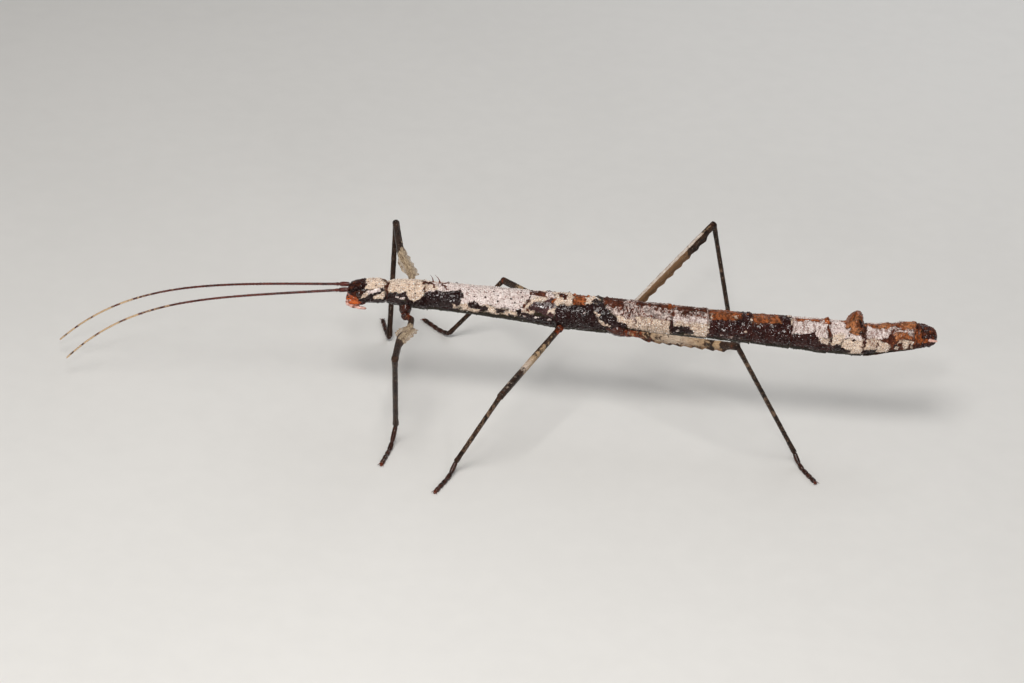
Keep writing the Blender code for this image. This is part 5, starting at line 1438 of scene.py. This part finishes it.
def paintFemur(label, pair, length, tt, angle, grid, lobeField, blade):
    # Places along the femur run from 0 at the hip to 1 at the knee. Marks are in mm, above 0 inside them.
    leg = (label, pair)
    behind, above = np.cos(np.radians(angle)), np.sin(np.radians(angle))
    pale = stretches(tt, length, legMarks[leg]["femur"])
    pale = np.maximum(pale, ramp(lobeField, 0.10, 0.30) * 0.9 - 0.45) - 0.16 * ramp(lobeField, 0.70, 1.15)
    tan = ramp(blade, 0.06, 0.25) * (0.75 + 0.25 * lumps(grid, 0.5, 54))
    paleAndSheen = np.zeros(tt.shape)
    if pair == "fore":
        # pale along the front near the hip, and behind beside the lobe
        front = ramp(behind, -0.2, -0.8) * (1 - ramp(tt, 0.30, 0.45))
        pale = np.maximum(pale, -0.5 + 0.28 * front)
        rear = ramp(behind, -0.75, -0.1) * ramp(tt, 0.25, 0.28) * (1 - ramp(tt, 0.58, 0.68))
        pale = np.maximum(pale, -0.45 + 0.75 * rear)
        paleAndSheen = 0.55 * bump(lobeField - 0.55, 0.25)
    if pair == "hind":
        tan = np.maximum(tan, hindTan[label] + 0.5 * lumps(grid, 0.6, 55))
    if leg == ("left", "mid"):
        pale = pale - 0.22 * ramp(tt, 0.48, 0.36) * ramp(behind, 0.4, -0.4)
        paleAndSheen = 0.6 * ramp(tt, 0.44, 0.60) * ramp(above, -0.2, 0.6)
    if leg == ("right", "hind"):
        # a painted highlight along the top, tan below it, dark towards the knee
        rim = ramp(offAngle(angle, 79), 43, 32)
        tan = np.maximum(tan, 1 - rim)
        paleAndSheen = rim * (0.95 + 0.4 * lumps(grid, 0.4, 56)) * (1 - ramp(tt, 0.84, 0.92))
        pale = pale - 0.55 * (1 - rim) * ramp(tt, 0.60, 0.74)
    pale = pale + 0.13 * lumps(grid, 0.7, 51) + 0.13 * lumps(grid, 0.3, 52)
    red = 0.20 - (tt * length - 0.9) * 0.22 + 0.18 * lumps(grid, 0.5, 53)
    if leg == ("left", "hind"):
        # redder near the hip, dark on the keel, bright in the middle
        edge = ramp(blade, 0.15, 0.45)
        red = np.maximum(red, 0.02 - (tt * length - 2.0) * 0.07 + 0.25 * lumps(grid, 0.45, 58))
        pale = pale - edge * (0.10 + 0.22 * lumps(grid, 0.5, 59))
        paleAndSheen = 0.45 * bump(tt - 0.46, 0.16) * (1 - edge)
    red = np.maximum(red, -0.5 + kneeRed.get(leg, usualKneeRed) * bump(tt - 0.97, 0.03))
    return {"paleMark": pale, "redMark": red, "tan": np.clip(tan, 0, 1), "bright": np.clip(paleAndSheen, 0, 1),
            "around": np.radians(angle) + lobeField * 2.2, "along": tt * length}


def buildFemur(side, label, pair, root, out):
    pose, size = legPose[(label, pair)], femurSizes[pair]
    length = pose["femur"]
    level = np.array((side * out[1], -side * out[0], 0.0))
    level /= np.linalg.norm(level)
    over = np.cross(out, level) * -side
    turn = math.radians(pose["roll"])
    rear = level * math.cos(turn) - over * math.sin(turn)
    upright = over * math.cos(turn) + level * math.sin(turn)
    t = np.concatenate((np.linspace(0.9 / length, 1.0, 190), 1 + np.array(femurEnd["rings"]) / length))
    # Points stand closer round the edges, the keel and the top.
    angles = np.unique(np.concatenate((np.arange(0, 360, 7.5), np.arange(-12, 13, 2) % 360,
                                       np.arange(168, 193, 2), np.arange(258, 283, 2),
                                       np.arange(84, 97, 3))).astype(float))
    tt, angle = np.meshgrid(np.clip(t, 0, 1), angles, indexing="ij")

    ridges = sum(height * bump(offAngle(angle, centre), 7) for centre, height in femurRidges)
    ridges = ridges * (1 + 0.30 * saw(tt, 26, 0.05, 0.95))
    knee = ramp(tt, 0.92, 0.97)
    share = 0.86 + ridges * (1 - 0.6 * knee) + 0.08 * knee
    wide = threePoint(size["halfWidth"], tt) * share * np.cos(np.radians(angle))
    high = threePoint(size["halfHeight"], tt) * share * np.sin(np.radians(angle))
    keel = size["keel"] * ramp(tt, 0.08, 0.2) * (1 - ramp(tt, 0.85, 0.97))
    lobeField = np.zeros(tt.shape)
    centre = root + out * (length * t[:, None])
    if pair == "fore":
        bow = size["bow"] * ramp(t, 0, 0.12) * (1 - ramp(t, 0.30, 0.60))
        centre = centre + level * bow[:, None]
        hind, front, crinkle = shapeLobes(tt, angle, length)
        wide, high = wide + hind - front, high + crinkle
        lobeField = np.maximum(hind, front)
    else:
        keel = keel + size["tooth"] * saw(tt, size["teeth"], 0.14, 0.90)
    blade = keel * bump(offAngle(angle, 270), 7.0)
    high = high - blade
    past = np.clip(t - 1, 0, 1) * length
    kneeRound = np.sqrt(np.clip(1 - (past / femurEnd["radius"]) ** 2, 0.02, 1))[:, None]
    wide, high = wide * kneeRound, high * kneeRound
    grid = centre[:, None] + rear * wide[..., None] + upright * high[..., None]
    grid = grid + (lumps(grid, 0.45, 50) * 0.03)[..., None] * upright
    values = paintFemur(label, pair, length, tt, angle, grid, lobeField, blade)
    fields = {name: poleField(value) for name, value in values.items()}
    femur = buildMesh(legName(label, pair, "Femur"), withPoles(grid), shellFaces(len(t), len(angles)),
                      fields, shells["lobedShell" if pair == "fore" else "legShell"])
    finishPiece(femur, "leg_cuticle", f"{label}_{pair}_femur")


def buildTibia(label, pair, knee, down):
    length, back = legPose[(label, pair)]["tibia"], tibiaSizes["back"]
    t = np.linspace(-back, 1.0, tibiaSizes["rings"])
    path = knee + down * (length * t[:, None])
    turn = circle(tibiaSizes["sides"])
    swell = 0.14 * (1 - ramp(t, 0.0, 0.15)) + 0.16 * ramp(t, 0.88, 1.0)
    ends = capShare(t + back, 0.02, 0.05) * capShare(1.0 - t, 0.012, 0.05)
    notches = (1 + 0.3 * saw(t, 30, 0.05, 0.95))[:, None]
    ridge = 1 + 0.12 * np.clip(np.cos(4 * turn), 0, 1)[None] ** 2 * notches
    spots = aroundPath(path, turn, 0.4)
    size = (tibiaSizes[pair] * (0.84 + swell) * ends)[:, None] * ridge * (1 + 0.05 * lumps(spots, 0.5, 60))
    pale = stretches(np.clip(t, 0, 1), length, legMarks[(label, pair)]["tibia"])[:, None]
    pale = pale - 0.05 + 0.10 * lumps(spots, 0.5, 61) + 0.10 * lumps(spots, 0.22, 62)
    tan = 0.30 + 0.35 * lumps(spots, 0.7, 63)
    tibia = tubePiece([(path, size, size, (1, 0, 0), {"paleMark": pale, "tan": tan})],
                      legName(label, pair, "Tibia"), shells["shinShell"])
    finishPiece(tibia, "leg_cuticle", f"{label}_{pair}_tibia")


def buildFoot(label, pair, ankle, toe):
    size = footSizes
    length = legPose[(label, pair)]["foot"]
    rows = []
    for joint in range(size["joints"]):
        start = (joint / size["joints"]) ** size["jointPower"]
        end = ((joint + 1) / size["joints"]) ** size["jointPower"]
        for part in np.linspace(0, 1, size["ringsPerJoint"], endpoint=False):
            body = math.sin(math.pi * min(part * 1.08, 1.0)) ** 0.45 * (0.93 + 0.12 * part)
            rows.append((start + (end - start) * part,
                         size["waist"] + (size["radius"] - size["waist"]) * body))
    rows.append((1.0, size["waist"] * 0.8))
    u, radius = np.array(rows).T
    path = ankle + toe * (length * u[:, None])
    path[:, 2] = size["sole"] + (ankle[2] - size["sole"]) * np.clip(1 - u / size["landing"], 0, 1) ** 2
    turn = circle(size["sides"])
    grid = sweepRings(path, radius[:, None], radius[:, None], turn)
    grid[..., 2] = np.maximum(grid[..., 2], size["floorGap"])
    values = {"paleMark": -0.40 + 0.20 * lumps(grid, 0.6, 70) + 0.12 * lumps(grid, 0.3, 71),
              "redMark": -0.46 + 0.20 * ramp(u, 0.80, 1.0)[:, None] + 0.20 * lumps(grid, 0.3, 72),
              "around": turn, "along": u[:, None] * length}
    fields = {name: poleField(np.broadcast_to(value, grid.shape[:2])) for name, value in values.items()}
    foot = buildMesh(legName(label, pair, "Foot"), withPoles(grid), shellFaces(len(u), size["sides"]),
                     fields, shells["footShell"])
    finishPiece(foot, "foot", f"{label}_{pair}_tarsus")
    buildClaws(label, pair, path[-1], toe)


def buildClaws(label, pair, tip, toe):
    # Two hooked claws and the soft pad between them.
    size, parts = clawSizes, []
    t = np.linspace(0, 1, 22)
    radius = size["radius"] * (1 - 0.86 * t) * np.clip(rounded(22, 0.08), 0.1, 1)
    thin = radius[:, None] * np.ones((1, 12))
    for spread in (-size["spread"], size["spread"]):
        sideways = np.array((-toe[1], toe[0], 0)) * math.sin(math.radians(spread))
        forward = toe * math.cos(math.radians(spread))
        curve = tip - toe * 0.18 + np.outer(t, forward + sideways * 1.075) * size["length"]
        curve[:, 2] = np.maximum(tip[2] + 0.10 - 0.36 * (t - 0.35) ** 2, size["lowest"])
        parts.append((curve, thin, thin, (0, 0, 1), {"redMark": -0.1}))
    curve = tip - toe * 0.1 + np.outer(np.linspace(0, 1, 18), toe) * size["padLength"]
    curve[:, 2] = size["padLevel"]
    pad = rounded(18, 0.45)[:, None] * np.ones((1, 14))
    parts.append((curve, pad * size["padWide"], pad * size["padHigh"], (0, 0, 1), {"redMark": -0.1}))
    claws = tubePiece(parts, legName(label, pair, "Claws"), shells["clawShell"])
    finishPiece(claws, "foot", f"{label}_{pair}_tarsus")


for side, label in sideLabels:
    for pair in ("fore", "mid", "hind"):
        root, out, knee, down, ankle, toe = legPoints(side, label, pair)
        buildCoxa(side, label, pair, root, out)
        buildFemur(side, label, pair, root, out)
        buildTibia(label, pair, knee, down)
        buildFoot(label, pair, ankle, toe)
    print(label, "legs ready")


plateSizes = {"rings": 90, "arc": 60, "lid": 26, "inside": 0.03, "lumps": 0.05}


def buildPlate():
    rings, arc = plateSizes["rings"], plateSizes["arc"]
    t = np.linspace(0, 1, rings)
    x = platePlace["front"] + (platePlace["tip"] - platePlace["front"]) * t
    middle, wide, high = readLine(trunkLine, x).T
    wide, high = wide - plateSizes["inside"], high - plateSizes["inside"]
    top = plateTop(x) - 0.02
    dip = np.arcsin(np.minimum((middle - top) / high, 0.999))   # down to the edge
    narrow = 1 - (1 - platePlace["narrowest"]) * t**2
    s = np.linspace(0, 1, arc)
    angle = -np.pi + dip[:, None] + (np.pi - 2 * dip[:, None]) * s
    under = np.stack((np.repeat(x[:, None], arc, 1), wide[:, None] * narrow[:, None] * np.cos(angle),
                      middle[:, None] + high[:, None] * np.sin(angle)), -1)
    broad, fine = lumps(under, 0.6, 80), lumps(under, 0.25, 81)
    size = plateSizes["lumps"]
    under[..., 2] += size * broad + size * np.abs(np.sin(np.pi * s))[None] * fine
    under[..., 2] = np.minimum(under[..., 2], top[:, None])
    # a flat lid closes the trough
    across = np.linspace(0, 1, plateSizes["lid"] + 2)[1:-1]
    lid = under[:, -1:, :] + (under[:, :1, :] - under[:, -1:, :]) * across[None, :, None]
    grid = np.concatenate((under, lid), 1)
    folded = np.degrees(np.arctan2(grid[..., 2] - middle[:, None], np.abs(grid[..., 1])))
    edge = lumps(grid, 0.8, 82) * 0.35
    pale = 0.18 - np.abs(folded + 32 - 18 * t[:, None]) * 0.03 + edge * 0.8
    values = {kind + "Mark": farOutside for kind in kinds}
    values.update({"creamMark": pale - 1.2 * ramp(x, 40, 43)[:, None], "rustMark": -0.2 + edge,
                   "wet": -1.0, "pitMark": farOutside, "crease": 0.0})
    fields = {name: poleField(np.broadcast_to(value, grid.shape[:2])) for name, value in values.items()}
    plate = buildMesh("tailPlate", withPoles(grid), shellFaces(rings, grid.shape[1]), fields, skinShell)
    finishPiece(plate, "body_cuticle", "subgenital_plate")


cercusSizes = {"path": ((43.2, 1.36, 17.68), (44.1, 1.62, 17.68), (44.9, 1.60, 17.62)),
               "radius": 0.31, "tipRadius": 0.13, "rings": 30, "sides": 18}


def buildTailFeelers():
    rings, parts = cercusSizes["rings"], []
    taper = rounded(rings, 0.12) * np.linspace(cercusSizes["radius"], cercusSizes["tipRadius"], rings)
    size = taper[:, None] * (1 + 0.10 * np.sin(np.linspace(0, 22, rings)))[:, None]
    size = size * np.ones((1, cercusSizes["sides"]))
    for side in (-1, 1):
        path = bentPath(cercusSizes["path"], rings, side)
        pale = 0.12 + 0.2 * lumps(path, 0.4, 90)[:, None]
        parts.append((path, size, size, (0, 0, 1), {"paleMark": pale}))
    finishPiece(tubePiece(parts, "tailFeelers", shells["mouthShell"]), "body_cuticle")


# Spines of the back: place along it, angle up the side, side, height in mm, lean as a share of the height.
spineSizes = {"radius": 0.13, "rings": 30, "sides": 10, "sunk": 0.15, "splay": 0.8,
              "places": ((-31.75, 66, -1, 1.50, 0.55), (-30.95, 82, 1, 1.35, 0.65),
                         (-29.85, 62, -1, 0.95, 0.80), (-32.0, 74, 1, 1.10, 0.45))}


def buildSpines():
    rings, sunk, parts = spineSizes["rings"], spineSizes["sunk"], []
    t = np.linspace(0, 1, rings)
    radius = spineSizes["radius"] * (0.12 + 0.88 * (1 - t) ** 1.3) * np.clip(rounded(rings, 0.05), 0.12, 1)
    thin = radius[:, None] * np.ones((1, spineSizes["sides"]))
    for x, turn, side, height, lean in spineSizes["places"]:
        middle, wide, high = skinLine(np.array(x))
        turn = math.radians(turn)
        foot = np.array((x, side * (wide - sunk) * math.cos(turn), middle + (high - sunk) * math.sin(turn)))
        out = np.array((0, side * math.cos(turn) * spineSizes["splay"], 1.0))
        curve = foot + np.outer(height * t, out) + np.outer(lean * height * t ** 2, (-1, 0, 0))
        parts.append((curve, thin, thin, (0, 1, 0), {"redMark": 0.05 - 0.3 * t[:, None]}))
    finishPiece(tubePiece(parts, "backSpines", shells["clawShell"]), "body_cuticle")


buildPlate()
buildTailFeelers()
buildSpines()
print("tail and spines ready")
